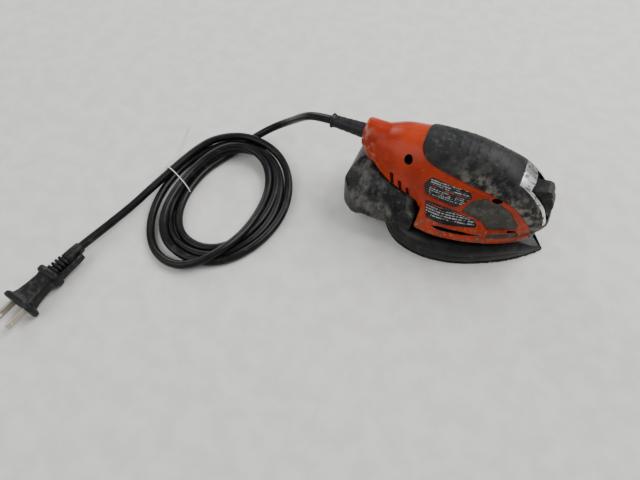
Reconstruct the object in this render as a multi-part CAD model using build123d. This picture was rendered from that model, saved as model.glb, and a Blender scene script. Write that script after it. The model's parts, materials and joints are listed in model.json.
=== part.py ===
from build123d import *
import os
from math import degrees, pi, radians, tan

# Corded detail sander. Millimetres, +Z up, +X towards the pointed tip, Z = 0 on the sanding face.
# The origin lies under the middle of the tool's length, from strain relief to tip.

# Driving dimensions
PAD_X = 28.0                # middle of the pad along X
WALL = 2.5                  # housing wall
GRIP_THICKNESS = 1.8        # rubber moulded over the housing
PANEL_THICKNESS = 0.8
LABEL_THICKNESS = 0.35
MOTOR_X = 20.0              # motor shaft axis
ORBIT_RADIUS = 0.9          # eccentric throw, half of a 1.8 mm orbit
RUNNING = 0.05              # radial clearance of a running fit
SKIRT_Z = 24.0              # lower edge of the housing
DRAFT = 0.03                # lean of the rear bulkhead
PLATE_Z = 33.0              # underside of the bearing plate
CORD_D = 7.0

# Height stack of the pad, from the floor up
SHEET_TOP = 1.0
HOOK_TOP = 2.2
FOAM_TOP = 10.5
PLATEN_TOP = 14.5

# Half of the pad's outline, rear end to tip, relative to the middle of the pad
PAD_SIDE = [(-68, 0), (-61.5, 24), (-47, 40.5), (-23, 47), (1, 43.8), (27, 32.3), (48, 18.6), (68, 0)]
# Half of the skirt's lower edge, rear bulkhead to blunt front
SKIRT_SIDE = [(-34, 39), (-19, 40.2), (0, 37.6), (20, 31.4), (36, 23.8), (48, 14.8), (53.5, 7), (55, 0)]

# Upper body: x, crest height, half width, height of the widest line, underside height
BODY_SECTIONS = [
    (-62, 80.0, 13.0, 66, 57.0),
    (-44, 82.0, 20.0, 56, 49.0),
    (-24, 84.5, 25.5, 50, 45.0),
    (-4, 89.0, 28.5, 46, 36.0),
    (22, 89.5, 29.5, 44, 34.0),
    (44, 84.0, 26.0, 44, 34.0),
    (60, 75.0, 21.0, 44, 33.0),
    (72, 64.0, 17.5, 42, 32.0),
    (80, 54.5, 14.5, 40, 31.5),
    (86, 46.0, 10.5, 38, 32.0),
]
COLLAR = (-66.0, -56.0, 10.0, 70.0)      # x of end, x of root, radius, height of the cord's axis
BULKHEAD_X = PAD_X + SKIRT_SIDE[0][0]

# Side view outlines (x, z) of what is laid over the housing
GRIP_SIDE = [(-19, 95), (-17, 86), (-14, 82), (-8, 78.5), (2, 77), (14, 75.5), (29, 73), (41, 70.5),
             (53, 66), (60, 61), (68, 50), (74, 39), (75, 29), (95, 29), (95, 95)]
PANEL_SIDE = [(24.5, 50), (29, 59.5), (38, 63.5), (48, 62.5), (57, 55.5), (66, 42.5), (67, 37), (47, 37.5),
              (40, 44)]
LABEL_UPPER = [(-7, 61), (-3, 68), (24.5, 65.5), (27, 62.5), (18.5, 50.5), (15, 50), (-5, 54)]
LABEL_LOWER = [(-3.5, 48), (0, 37), (15, 37.5), (36, 40), (33, 45), (19, 48), (0, 49)]
STRIP_SIDE = [(44, 29), (66, 29), (66, 34), (44, 34)]

# Rocker switch at the nose
SLOPE = 49.5                             # the nose falls at this angle
ROCKER_PIVOT = (69.0, 0.0, 56.0)
ROCKER_HALF_WIDTH = 7.2
ROCKER_REACH = 13.4
ROCKER_TILT = 7.0                        # at rest the switch is off, with its upper lobe proud
LOBES = [(-6.2, 3.3, 6.2), (6.2, 3.3, 6.2)]     # along the slope, out of it, radius
BEZEL_HALF_WIDTH = 10.3
BEZEL_SIDE = [(55, 95), (55, 58), (64, 46), (72, 38.5), (95, 38.5), (95, 95)]

# Motor, from the bottom up, all about MOTOR_X
SHAFT_R = 4.0
STACK = (42.0, 62.0, 20.5, 12.7)         # field stack z range, outer radius, pole bore
ARMATURE_R = 12.2
COMMUTATOR = (66.5, 74.5, 8.0)
UPPER_BEARING = (77.0, 82.0, 8.0)
LOWER_BEARING = (34.0, 40.0, 11.0)
FAN = (25.5, 31.5, 22.0)
ECCENTRIC = (19.5, 24.5, 9.5)
PLATEN_BEARING = (12.0, 18.0, 9.5)
LEG_PLACES = [(4, 28), (4, -28), (53.5, 16.5), (53.5, -16.5)]
LEG_R = 4.5

SCREW_PLACES = [(-25, 75, 10.0), (46, 63, 15.0), (71, 36.8, 10.0)]    # x, z, depth of the head's seat in y
SCREW_HEAD_R = 3.4
SCREW_REACH = 8.0                        # how far a screw goes past the joint between the halves
BOSS_R = 4.6
BOSS_TOP = 44.0
CLAMP_X = -46.5
CLAMP_SCREW_Y = (-5.8, 5.8)

# Dust canister, in the frame: plan half outline, side view, front view
CANISTER_PLAN = [(-72, 0), (-71.5, 22), (-66, 34), (-54, 40.5), (-36, 42.5), (-20, 42.8), (-9, 41.5)]
CANISTER_SIDE = [(-69, 52), (-71.5, 45), (-73, 30), (-72.5, 16), (-69, 12), (-60, 12.5), (-50, 19.5),
                 (-9, 20.5), (-9, 30), (-11.5, 38), (-17, 43.5), (-28, 45), (-44, 48.5), (-58, 53.5)]
CANISTER_FRONT = [(42, 8), (42, 27), (38, 36), (25, 47), (14, 56)]
CANISTER_WALL = 2.0
ROOM = 0.6                               # clearance round the canister
SEAL_X = (-8.7, -7.0)
SEAL_MARGIN = 1.5
DUCT = (0.0, 30.0, 22.0, 8.0)            # dust duct through the bulkhead: y, z, width, height

FILTER_BOX = (-62.0, -54.0, 21.0, 20.0, 38.0)    # x range, half width, z range

# Cord, all on the ground except where it falls from the tool
CORD_AXIS_Z = COLLAR[3]
RELIEF_END_X = -96.0
LEAD_ROUTE = [(-96, 0, 70), (-108.4, 2, 67), (-119.7, 5.6, 60.4), (-131.1, 11.7, 48.3), (-141.3, 17.6, 36.2),
              (-151, 20.7, 26.7), (-161.3, 19.8, 18.7), (-171.4, 15.1, 11.8), (-180.2, 6.9, 6.5),
              (-186.9, -3.9, 3.7)]
TAIL_ROUTE = [(-229, -66, 11), (-230.6, -85, 9.6), (-234.5, -104, 8.2), (-240, -124, 7.3),
              (-245, -143.5, 7.4), (-248.6, -160, 8.2)]
COIL = (-170.5, -70.0, 62.0, 76.0, 30.0, 46.0, 21.0)    # centre x, y, outer and inner half axes, height
TIE_PLACE = (-216.0, -66.5, -22.0)
PLUG_START = (-248.6, -160.0, 8.2)
PLUG_HEADING = 263.0                     # degrees from +X, seen from above
BLADE_SPACING = 12.7


def save(shape, name):
    shape.label = name
    export_step(shape, f"parts/{name}.step")


def ring(z0, z1, outer, inner, x=MOTOR_X, y=0.0):
    """Upright ring, or a disc when inner is zero."""
    body = Pos(x, y, (z0 + z1) / 2) * Cylinder(outer, z1 - z0)
    if inner:
        body -= Pos(x, y, (z0 + z1) / 2) * Cylinder(inner, z1 - z0 + 2)
    return body


def block(x0, x1, y0, y1, z0, z1):
    return Pos((x0 + x1) / 2, (y0 + y1) / 2, (z0 + z1) / 2) * Box(x1 - x0, y1 - y0, z1 - z0)


def side_prism(points, half_width=60.0):
    """Side view outline (x, z) extruded both ways along Y."""
    face = make_face(Polyline(*[(x, z) for x, z in points], close=True))
    return extrude(Plane.XZ * face, amount=half_width, both=True)


def moved_in(side, inset, rear_inset):
    """Side points of a plan outline, each moved in along its normal; a flat rear moves on its own."""
    moved = []
    for i, (x, y) in enumerate(side):
        before = side[i - 1] if i else (side[1][0], -side[1][1])
        after = side[i + 1] if i + 1 < len(side) else (before[0], -before[1])
        along = Vector(after[0] - before[0], after[1] - before[1], 0).normalized()
        moved.append((x + along.Y * inset, y - along.X * inset))
    if rear_inset is not None:
        slope = (side[1][1] - side[0][1]) / (side[1][0] - side[0][0])
        moved[0] = (side[0][0] + rear_inset, side[0][1] - inset + slope * rear_inset)
    return moved


def outline(side, inset=0.0, z=0.0, rear_inset=None):
    """Symmetric plan outline from one side's points. Its rear is round unless rear_inset is given."""
    flat_rear = rear_inset is not None
    points = moved_in(side, inset, rear_inset)
    start = (1, 0.1) if flat_rear else (0, 1)
    finish = (0, -1) if flat_rear else (0.75, -0.7)
    half = Spline(*points, tangents=[start, finish])
    edges = [half, mirror(half, Plane.XZ)]
    if flat_rear:
        edges.append(Line(points[0], (points[0][0], -points[0][1])))
    return Pos(PAD_X, 0, z) * make_face(edges)


def body_section(x, crest, half, wide_z, base, grow):
    """Arch of the upper body: half an ellipse over straight sides and a flat underside."""
    w = half + grow
    rise = crest + grow - wide_z
    low = base - grow
    arch = EllipticalCenterArc((0, wide_z), w, rise, start_angle=0, arc_size=180)
    legs = Polyline((-w, wide_z), (-w, low), (w, low), (w, wide_z))
    return Plane(origin=(x, 0, 0), x_dir=(0, 1, 0), z_dir=(1, 0, 0)) * make_face([arch, legs])


def upper_body(grow=0.0):
    sections = [body_section(*row, grow) for row in BODY_SECTIONS]
    return loft(sections)


def skirt(grow=0.0):
    """Lower body: upright edge, then a flare in to the waist."""
    def band(*levels):
        faces = [outline(SKIRT_SIDE, inset - grow, z, (z - SKIRT_Z) * DRAFT - grow) for z, inset in levels]
        return loft(faces)

    return band((SKIRT_Z, 0.0), (33.0, 1.2)) + band((33.0, 1.2), (49.0 + grow, 11.0))


def collar(grow=0.0):
    end, root, radius, height = COLLAR
    return Pos((end + root) / 2, 0, height) * Rot(0, 90, 0) * Cylinder(radius + grow, root - end)


def outer_form(grow=0.0):
    return upper_body(grow) + skirt(grow) + collar(grow)


def overlay(region, thickness, cut=None):
    """Layer of even thickness over the housing, inside a side view region."""
    layer = (outer_form(thickness) & region) - HOUSING_FORM
    return layer - cut if cut else layer


def sides(solid):
    """The parts of a shape on the right (-Y) and on the left (+Y)."""
    right = solid & block(-200, 200, -100, 0, -10, 200)
    left = solid & block(-200, 200, 0, 100, -10, 200)
    return right, left


# ---- rocker switch ----

def on_slope(shape):
    """Places a shape made with +X down the nose's slope and +Z out of it, at the rocker's pivot."""
    return Pos(*ROCKER_PIVOT) * Rot(0, SLOPE, 0) * shape


def across(radius, width, x=0.0, z=0.0):
    """Cylinder along Y."""
    return Pos(x, 0, z) * Rot(90, 0, 0) * Cylinder(radius, width)


def rocker():
    core = across(ROCKER_REACH, 2 * ROCKER_HALF_WIDTH) & block(-20, 20, -20, 20, -3.0, 4.5)
    for along, out, radius in LOBES:
        core += across(radius, 2 * ROCKER_HALF_WIDTH, along, out) & block(-20, 20, -20, 20, 0, 20)
    core &= across(ROCKER_REACH, 2 * ROCKER_HALF_WIDTH)
    core -= across(1.5 + RUNNING, 30)
    return on_slope(Rot(0, ROCKER_TILT, 0) * core)


def rocker_room():
    """Slot through the housing's skin for the rocker."""
    half = ROCKER_HALF_WIDTH + 0.5
    return on_slope(across(ROCKER_REACH + 0.6, 2 * half) & block(-20, 20, -20, 20, -9, 20))


def switch_body():
    body = block(-8, 8, -ROCKER_HALF_WIDTH - 0.2, ROCKER_HALF_WIDTH + 0.2, -15, -5.6)
    for side in (-1, 1):
        y = side * (ROCKER_HALF_WIDTH + 1.2)
        body += block(-4, 4, y - 0.7, y + 0.7, -15, 2.2)
        near, far = sorted((y + side * 0.7, y - side * 1.2))
        body += block(-8, 8, near, far, -15, -6)
    body -= across(1.5, 30)
    return on_slope(body)


def bezel_region(gap=0.0):
    """Frame round the rocker, from the plate at the crest to the nose."""
    return side_prism([(x - gap, z - gap) for x, z in BEZEL_SIDE], BEZEL_HALF_WIDTH + gap)


# ---- housing ----

def boss_along_y(x, z, radius):
    return Pos(x, 0, z) * Rot(90, 0, 0) * Cylinder(radius, 120)


def motor_ribs():
    """Ledges that hold the field stack and the upper bearing."""
    ribs = block(-3, 43, -40, 40, 46, 48) + block(-3, 43, -40, 40, 57, 59)
    ribs -= ring(40, 70, STACK[2] + 0.1, 0)
    holder = block(8, 32, -40, 40, UPPER_BEARING[0], 90) - ring(70, UPPER_BEARING[1] + 1, 9.6, 0)
    return ribs + holder


def screw_cut(x, z, seat):
    """Right side counterbore and the pilot hole, both along Y."""
    head = Pos(x, -seat - 30, z) * Rot(90, 0, 0) * Cylinder(SCREW_HEAD_R + 0.3, 60)
    pilot = Pos(x, (SCREW_REACH - seat) / 2, z) * Rot(90, 0, 0) * Cylinder(1.9, seat + SCREW_REACH)
    return head + pilot


def housing():
    """Hollow body with its ribs, bosses and openings, without the screw holes, as its right half."""
    inner = upper_body(-WALL) + skirt(-WALL)
    inner -= canister_block(-ROOM - WALL)
    right = block(-200, 200, -100, 0, -10, 200)
    shell = (HOUSING_FORM - inner) & right
    braces = motor_ribs() + clamp_saddle()
    for x, z, seat in SCREW_PLACES:
        braces += boss_along_y(x, z, BOSS_R)
    for x, y in LEG_PLACES:
        braces += ring(PLATE_Z + 3, BOSS_TOP, 5.0, 0, x, y)
    braces &= (upper_body(-WALL / 2) + skirt(-WALL / 2)) & right
    shell += braces
    shell -= canister_block(-ROOM)
    for x, y in LEG_PLACES:
        shell -= ring(PLATE_Z + 2, BOSS_TOP - 1, 1.3, 0, x, y)
    shell -= rocker_room()
    shell -= duct_cut(-20, 0)
    shell -= duct_cut(-12, SEAL_X[1], SEAL_MARGIN)
    shell -= Pos(-64, 0, CORD_AXIS_Z) * Rot(0, 90, 0) * Cylinder(6.7, 18)
    shell -= Pos(-50, 0, CORD_AXIS_Z) * Rot(0, 90, 0) * Cylinder(CORD_D / 2, 20)
    for y in CLAMP_SCREW_Y:
        shell -= ring(55, 80, 1.4, 0, CLAMP_X, y)
    return shell - vents()


def housing_halves():
    right = housing()
    left = mirror(right, Plane.XZ)
    for x, z, seat in SCREW_PLACES:
        right -= screw_cut(x, z, seat)
        left -= Pos(x, SCREW_REACH / 2, z) * Rot(90, 0, 0) * Cylinder(1.9, SCREW_REACH + 0.1)
    return right, left


def clamp_saddle():
    """Seat under the cord, which the clamp pulls it down on."""
    return block(CLAMP_X - 3, CLAMP_X + 3, -9, 9, 40, CORD_AXIS_Z)


def duct_cut(x0, x1, margin=0.0):
    y, z, width, height = DUCT
    w = width / 2 + margin
    h = height / 2 + margin
    return block(x0, x1, y - w, y + w, z - h, z + h)


def vents():
    """Three slanted slots a side in the tail."""
    cuts = None
    for x, z, length in [(-35, 56, 9), (-27, 52.5, 8), (-20, 50.5, 6)]:
        slot = Pos(x, 0, z) * Rot(0, 25, 0) * Box(2.2, 120, length)
        cuts = slot if cuts is None else cuts + slot
    keep_out = block(-80, 60, -11, 11, 0, 100)
    return cuts - keep_out


def collar_and_relief():
    length = COLLAR[0] - RELIEF_END_X
    taper = Pos(COLLAR[0] - length / 2, 0, CORD_AXIS_Z) * Rot(0, -90, 0) * Cone(6.6, 4.9, length)
    body = taper
    body += Pos(-61, 0, CORD_AXIS_Z) * Rot(0, 90, 0) * Cylinder(6.6, 10)
    body += Pos(-54.8, 0, CORD_AXIS_Z) * Rot(0, 90, 0) * Cylinder(6.6, 2.4)
    body -= along_x(CORD_D / 2, -110, -45)
    return body - along_x(CORD_D / 2 + 0.3, RELIEF_END_X - 1, RELIEF_END_X + 2)


def cord_clamp():
    top = CORD_AXIS_Z + 4.8
    bar = block(CLAMP_X - 3, CLAMP_X + 3, -8, 8, CORD_AXIS_Z + 1.2, top)
    bar -= Pos(CLAMP_X, 0, CORD_AXIS_Z) * Rot(0, 90, 0) * Cylinder(CORD_D / 2, 20)
    for y in CLAMP_SCREW_Y:
        bar -= ring(60, 90, 1.4, 0, CLAMP_X, y)
    return bar


def clamp_screws():
    screws = []
    for y in CLAMP_SCREW_Y:
        screw = ring(CORD_AXIS_Z - 8, CORD_AXIS_Z + 4.8, 1.4, 0, CLAMP_X, y)
        screw += ring(CORD_AXIS_Z + 4.8, CORD_AXIS_Z + 5.8, 2.2, 0, CLAMP_X, y)
        screws.append(screw)
    return Compound(screws)


def housing_screws():
    screws = []
    for x, z, seat in SCREW_PLACES:
        head = Pos(x, -seat - 1.1, z) * Rot(90, 0, 0) * Cylinder(SCREW_HEAD_R, 2.2)
        head -= Pos(x, -seat - 2.2, z) * Box(4.2, 1.6, 0.9)
        head -= Pos(x, -seat - 2.2, z) * Box(0.9, 1.6, 4.2)
        body = Pos(x, (SCREW_REACH - seat) / 2, z) * Rot(90, 0, 0) * Cylinder(1.9, seat + SCREW_REACH)
        screws.append(head + body)
    return Compound(screws)


# ---- motor ----

def field_stack():
    z0, z1, outer, bore = STACK
    stack = ring(z0, z1, outer, outer - 3)
    poles = ring(z0, z1, outer - 3, bore) & block(MOTOR_X - 8, MOTOR_X + 8, -30, 30, z0, z1)
    return stack + poles


def field_coils():
    """Two coils, one round each pole, standing proud of the stack above and below."""
    coils = []
    for side in (-1, 1):
        y = side * 13.7
        outer = block(MOTOR_X - 9.6, MOTOR_X + 9.6, y - 0.8, y + 0.8, STACK[0] - 2.3, STACK[1] + 2.3)
        hole = block(MOTOR_X - 8.05, MOTOR_X + 8.05, y - 3, y + 3, STACK[0] - 0.05, STACK[1] + 0.05)
        coils.append((outer - hole) - ring(30, 80, ARMATURE_R + 0.5, 0))
    return Compound(coils)


def bearing(z0, z1, outer, bore):
    """Sealed bearing with its two faces stepped in between the races."""
    body = ring(z0, z1, outer, bore)
    middle = (outer + bore) / 2
    for low in (z0 - 1, z1 - 0.4):
        body -= ring(low, low + 1.4, middle + 1.3, middle - 1.3)
    return body


def bearing_plate():
    plate = ring(PLATE_Z, PLATE_Z + 3, 22.5, 0)
    for x, y in LEG_PLACES:
        reach = Vector(x - MOTOR_X, y, 0)
        arm = Pos(reach.length / 2, 0, PLATE_Z + 1.5) * Box(reach.length, 9, 3)
        angle = degrees(Vector(1, 0, 0).get_signed_angle(reach, Vector(0, 0, 1)) * pi / 180)
        plate += Pos(MOTOR_X, 0, 0) * Rot(0, 0, angle) * arm
        plate += ring(PLATE_Z, PLATE_Z + 3, 4.5, 0, x, y)
    plate += ring(PLATE_Z, 39.5, 13.5, 0)
    plate -= ring(LOWER_BEARING[0], 50, LOWER_BEARING[2], 0)
    plate -= ring(20, 50, 7.0, 0)
    for x, y in LEG_PLACES:
        plate -= ring(20, 50, 1.3, 0, x, y)
    return plate


def brush_gear(side):
    """Holder, carbon brush and spring for one side, in order."""
    low, high = COMMUTATOR[0] + 0.5, COMMUTATOR[1] - 0.5
    mid_z = (low + high) / 2
    start = COMMUTATOR[2] + 0.1

    def span(half_x, near, far, half_z):
        y = sorted((side * near, side * far))
        return block(MOTOR_X - half_x, MOTOR_X + half_x, *y, mid_z - half_z, mid_z + half_z)

    holder = span(4.0, start + 1.2, 17.5, 4.4) - span(2.6, start, 16.6, 2.9)
    brush = span(2.5, start - 1, start + 5, 2.8) - ring(60, 80, start, 0)
    coils = []
    for i in range(4):
        y = side * (start + 5.5 + i * 0.85)
        coils.append(Pos(MOTOR_X, y, mid_z) * Rot(90, 0, 0) * Torus(1.8, 0.3))
    return holder, brush, coils


def wire(points, radius):
    """Round wire along straight runs joined by tangent arcs."""
    path, radii = rounded(points)
    plane = Plane(origin=path @ 0, z_dir=path % 0)
    return sweep(plane * Circle(radius), path=path, transition=Transition.ROUND), radii


def rounded(points):
    """Path with each corner as large an arc as its two runs allow, and those radii."""
    corners = [Vector(*p) for p in points]
    radii = []
    for a, b, c in zip(corners, corners[1:], corners[2:]):
        turn = radians((b - a).get_angle(c - b))
        shorter = min((b - a).length, (c - b).length)
        radii.append(0.45 * shorter / tan(turn / 2))
    return FilletPolyline(*corners, radius=radii), radii


LEAD_WIRE = [(-42, 3, 70), (-26, 13, 63), (-6, 21.5, 54.5), (14, 23.2, 53), (34, 22.4, 53.2), (47, 14, 51.8),
             (54, 4, 48.6)]


def lead_wires():
    upper, _ = wire(LEAD_WIRE, 1.1)
    lower, _ = wire([(x - 0.5, y - 0.4 if x < 0 else y, z - 2.6) for x, y, z in LEAD_WIRE], 1.1)
    return Compound([upper, lower])


# ---- rotor ----

def motor_shaft():
    return ring(ECCENTRIC[1], 40.3, SHAFT_R, 0) + ring(40.3, UPPER_BEARING[1] + 0.5, 3.0, 0)


def armature_core():
    core = ring(STACK[0] + 0.5, STACK[1] - 0.5, ARMATURE_R, 3.0)
    for i in range(12):
        slot = Pos(MOTOR_X, 0, 52) * Rot(0, 0, i * 30) * Pos(ARMATURE_R, 0, 0) * Box(4, 1.4, 30)
        core -= slot
    return core


def armature_windings():
    low = ring(STACK[0] - 1.4, STACK[0] + 0.5, 10.5, 3.0)
    high = ring(STACK[1] - 0.5, STACK[1] + 3.0, 10.5, 3.0)
    return Compound([low, high])


def commutator():
    drum = ring(*COMMUTATOR, 3.0)
    for i in range(12):
        drum -= Pos(MOTOR_X, 0, 70) * Rot(0, 0, i * 30) * Pos(COMMUTATOR[2], 0, 0) * Box(1.2, 0.4, 20)
    return drum


def fan():
    z0, z1, outer = FAN
    body = ring(z1 - 1.5, z1, outer, SHAFT_R) + ring(z0, z1, 7.0, SHAFT_R)
    for i in range(11):
        blade = Pos(14, 0, (z0 + z1) / 2) * Rot(0, 0, 25) * Box(14, 1.2, z1 - z0)
        body += Pos(MOTOR_X, 0, 0) * Rot(0, 0, i * 360 / 11) * (blade & ring(z0, z1, outer - 0.5, 6, 0))
    return body


def eccentric():
    """Disc with its heavy side opposite the pin, and the pin that carries the platen's bearing."""
    z0, z1, outer = ECCENTRIC
    body = ring(z0, z1, outer, 0)
    weight = ring(z0 + 1.5, z1, 13.5, 0) & block(-20, MOTOR_X - 1, -20, 20, z0, z1)
    pin = ring(PLATEN_BEARING[0] + 0.2, z0, SHAFT_R, 0, MOTOR_X + ORBIT_RADIUS)
    shoulder = ring(PLATEN_BEARING[1], z0, 5.2, 0, MOTOR_X + ORBIT_RADIUS)
    body += weight + pin + shoulder
    return body - ring(8, z0 + 2, 1.9, 0, MOTOR_X + ORBIT_RADIUS)


def platen_screw():
    x = MOTOR_X + ORBIT_RADIUS
    low = PLATEN_BEARING[0] + 0.2
    screw = ring(low - 2.7, low - 0.9, 4.0, 0, x) + ring(low - 0.9, ECCENTRIC[0] + 1.8, 1.9, 0, x)
    return screw - Pos(x, 0, low - 2.7) * Box(4.5, 0.9, 1.6)


# ---- platen ----

def pad_layer(z0, z1, inset=0.0, inset_top=None):
    top = inset if inset_top is None else inset_top
    return loft([outline(PAD_SIDE, inset, z0), outline(PAD_SIDE, top, z1)])


def dust_holes(z0, z1):
    """Holes that draw the dust up through the pad."""
    holes = None
    for x, y in [(-14, 24), (-14, -24), (52, 14), (52, -14), (0, 33), (0, -33), (34, 26), (34, -26)]:
        hole = ring(z0, z1, 3.2, 0, x, y)
        holes = hole if holes is None else holes + hole
    return holes


def platen():
    x = MOTOR_X + ORBIT_RADIUS
    body = pad_layer(FOAM_TOP, PLATEN_TOP, 1.0, 4.0)
    body += ring(PLATEN_TOP - 1, PLATEN_BEARING[1] + 0.6, 12.5, 0, x)
    body -= ring(PLATEN_BEARING[0], 30, PLATEN_BEARING[2], 0, x)
    body -= ring(0, 30, 6.5, 0, x)
    for leg_x, leg_y in LEG_PLACES:
        cup = ring(PLATEN_TOP - 1, PLATEN_TOP + 3, 7.6, 0, leg_x + ORBIT_RADIUS, leg_y)
        body += cup
        body -= ring(FOAM_TOP + 1.5, 30, 6.0, 0, leg_x + ORBIT_RADIUS, leg_y)
    return body - dust_holes(FOAM_TOP - 1, PLATEN_TOP + 1)


def foam_pad():
    foam = pad_layer(HOOK_TOP, FOAM_TOP, 0.0, 0.6) - dust_holes(0, 20)
    return foam - ring(0, 20, 8.0, 0, MOTOR_X + ORBIT_RADIUS)


def hook_pad():
    return pad_layer(SHEET_TOP, HOOK_TOP) - dust_holes(0, 5)


def sheet_split():
    """Line between the main sanding sheet and the separate tip sheet."""
    return block(PAD_X + 32, 200, -60, 60, -1, 5)


def sanding_sheet():
    return (pad_layer(0, SHEET_TOP) - sheet_split()) - dust_holes(-1, 5)


def tip_sheet():
    return pad_layer(0, SHEET_TOP) & sheet_split() & block(PAD_X + 32.6, 200, -60, 60, -1, 5)


def platen_legs():
    return Compound([ring(FOAM_TOP + 2.2, PLATE_Z, LEG_R, 1.3, x, y) for x, y in LEG_PLACES])


def leg_screws():
    screws = []
    for x, y in LEG_PLACES:
        screws.append(ring(PLATE_Z - 8, BOSS_TOP - 1.5, 1.3, 0, x, y))
    return Compound(screws)


# ---- dust canister ----

def inset_polygon(points, inset):
    """Closed outline with each edge moved to its left by inset."""
    moved = []
    for i, here in enumerate(points):
        before, after = points[i - 1], points[(i + 1) % len(points)]
        into = Vector(here[0] - before[0], here[1] - before[1], 0).normalized()
        out = Vector(after[0] - here[0], after[1] - here[1], 0).normalized()
        share = inset / (1 + into.dot(out))
        moved.append((here[0] - (into.Y + out.Y) * share, here[1] + (into.X + out.X) * share))
    return moved


def canister_block(inset=0.0):
    """Canister as the common part of its plan, its side view and its front view."""
    plan = CANISTER_PLAN[:0:-1] + [(x, -y) for x, y in CANISTER_PLAN[1:]]
    section = CANISTER_FRONT + [(-y, z) for y, z in reversed(CANISTER_FRONT)]
    across_x = Plane(origin=(0, 0, 0), x_dir=(0, 1, 0), z_dir=(1, 0, 0))
    tall = extrude(make_face(Polyline(*inset_polygon(plan, inset), close=True)), amount=70)
    long = across_x * make_face(Polyline(*inset_polygon(section, inset), close=True))
    profile = side_prism(inset_polygon(CANISTER_SIDE, inset))
    return tall & extrude(long, amount=100, both=True) & profile


def canister_shell():
    return canister_block() - canister_block(CANISTER_WALL) - duct_cut(-14, 0)


def canister_seal():
    return duct_cut(*SEAL_X, SEAL_MARGIN) - duct_cut(SEAL_X[0] - 1, SEAL_X[1] + 1)


def filter_frame():
    x0, x1, half, z0, z1 = FILTER_BOX
    frame = block(x0, x1, -half, half, z0, z1)
    return frame - block(x0 - 1, x1 + 1, -half + 2, half - 2, z0 + 2, z1 - 2)


def dust_filter():
    """Pleated paper, folded across the frame's opening."""
    x0, x1, half, z0, z1 = FILTER_BOX
    inner = half - 2.0
    folds = 12
    step = 2 * inner / folds
    front = [(x0 + 1 + (i % 2) * 5.0, -inner + i * step) for i in range(folds + 1)]
    back = [(x + 0.9, y) for x, y in reversed(front)]
    paper = extrude(make_face(Polyline(*front, *back, close=True)), amount=z1 - z0 - 4)
    return Pos(0, 0, z0 + 2) * paper


# ---- cord ----

def coil_form():
    x, y, a, b, c, d, height = COIL
    outer = Pos(x, y, 0) * extrude(make_face(Ellipse(a, b).edges()), amount=height)
    return outer - Pos(x, y, -1) * extrude(make_face(Ellipse(c, d).edges()), amount=height + 2)


def at_plug(shape):
    """Places a shape made with +X from the cord towards the blades and the cord's axis on X."""
    return Pos(*PLUG_START) * Rot(0, 0, PLUG_HEADING) * shape


def along_x(radius, x0, x1):
    return Pos((x0 + x1) / 2, 0, CORD_AXIS_Z) * Rot(0, 90, 0) * Cylinder(radius, x1 - x0)


def along(radius, x0, x1):
    return Pos((x0 + x1) / 2, 0, 0) * Rot(0, 90, 0) * Cylinder(radius, x1 - x0)


def plug_sleeve():
    sleeve = Pos(14, 0, 0) * Rot(0, 90, 0) * Cone(4.6, 6.2, 28)
    for i in range(4):
        sleeve -= along(9, 16 + i * 3, 17.4 + i * 3) - along(4.9 + 0.3 * i, 10, 40)
    return at_plug(sleeve - along(CORD_D / 2, -1, 12))


def plug_body():
    body = block(28, 34, -11, 11, -7.5, 8.0) + block(34, 57, -9.5, 9.5, -6.5, 7.5)
    return at_plug(body + block(57, 62, -15, 15, -8.0, 9.5))


def plug_blades():
    blades = [block(62, 79, y - 0.75, y + 0.75, -3.1, 3.1) for y in (-BLADE_SPACING / 2, BLADE_SPACING / 2)]
    return at_plug(Compound(blades))


def cord_clip():
    """Snap tongue beside the plug's sleeve, for holding the wound cord."""
    tongue = block(4, 28, 7.0, 10.0, -3, 3) + block(25, 28, 5.9, 10, -3, 3) + block(4, 7, 5.6, 7.0, -3, 3)
    return at_plug(tongue)


def coil_tie():
    x, y, turn = TIE_PLACE
    loop = Box(30, 1.6, COIL[6] + 1.6) - Box(28.4, 3, COIL[6] + 0.2)
    return Pos(x, y, COIL[6] / 2 + 0.9) * Rot(0, 0, turn) * loop


HOUSING_FORM = outer_form()


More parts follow.
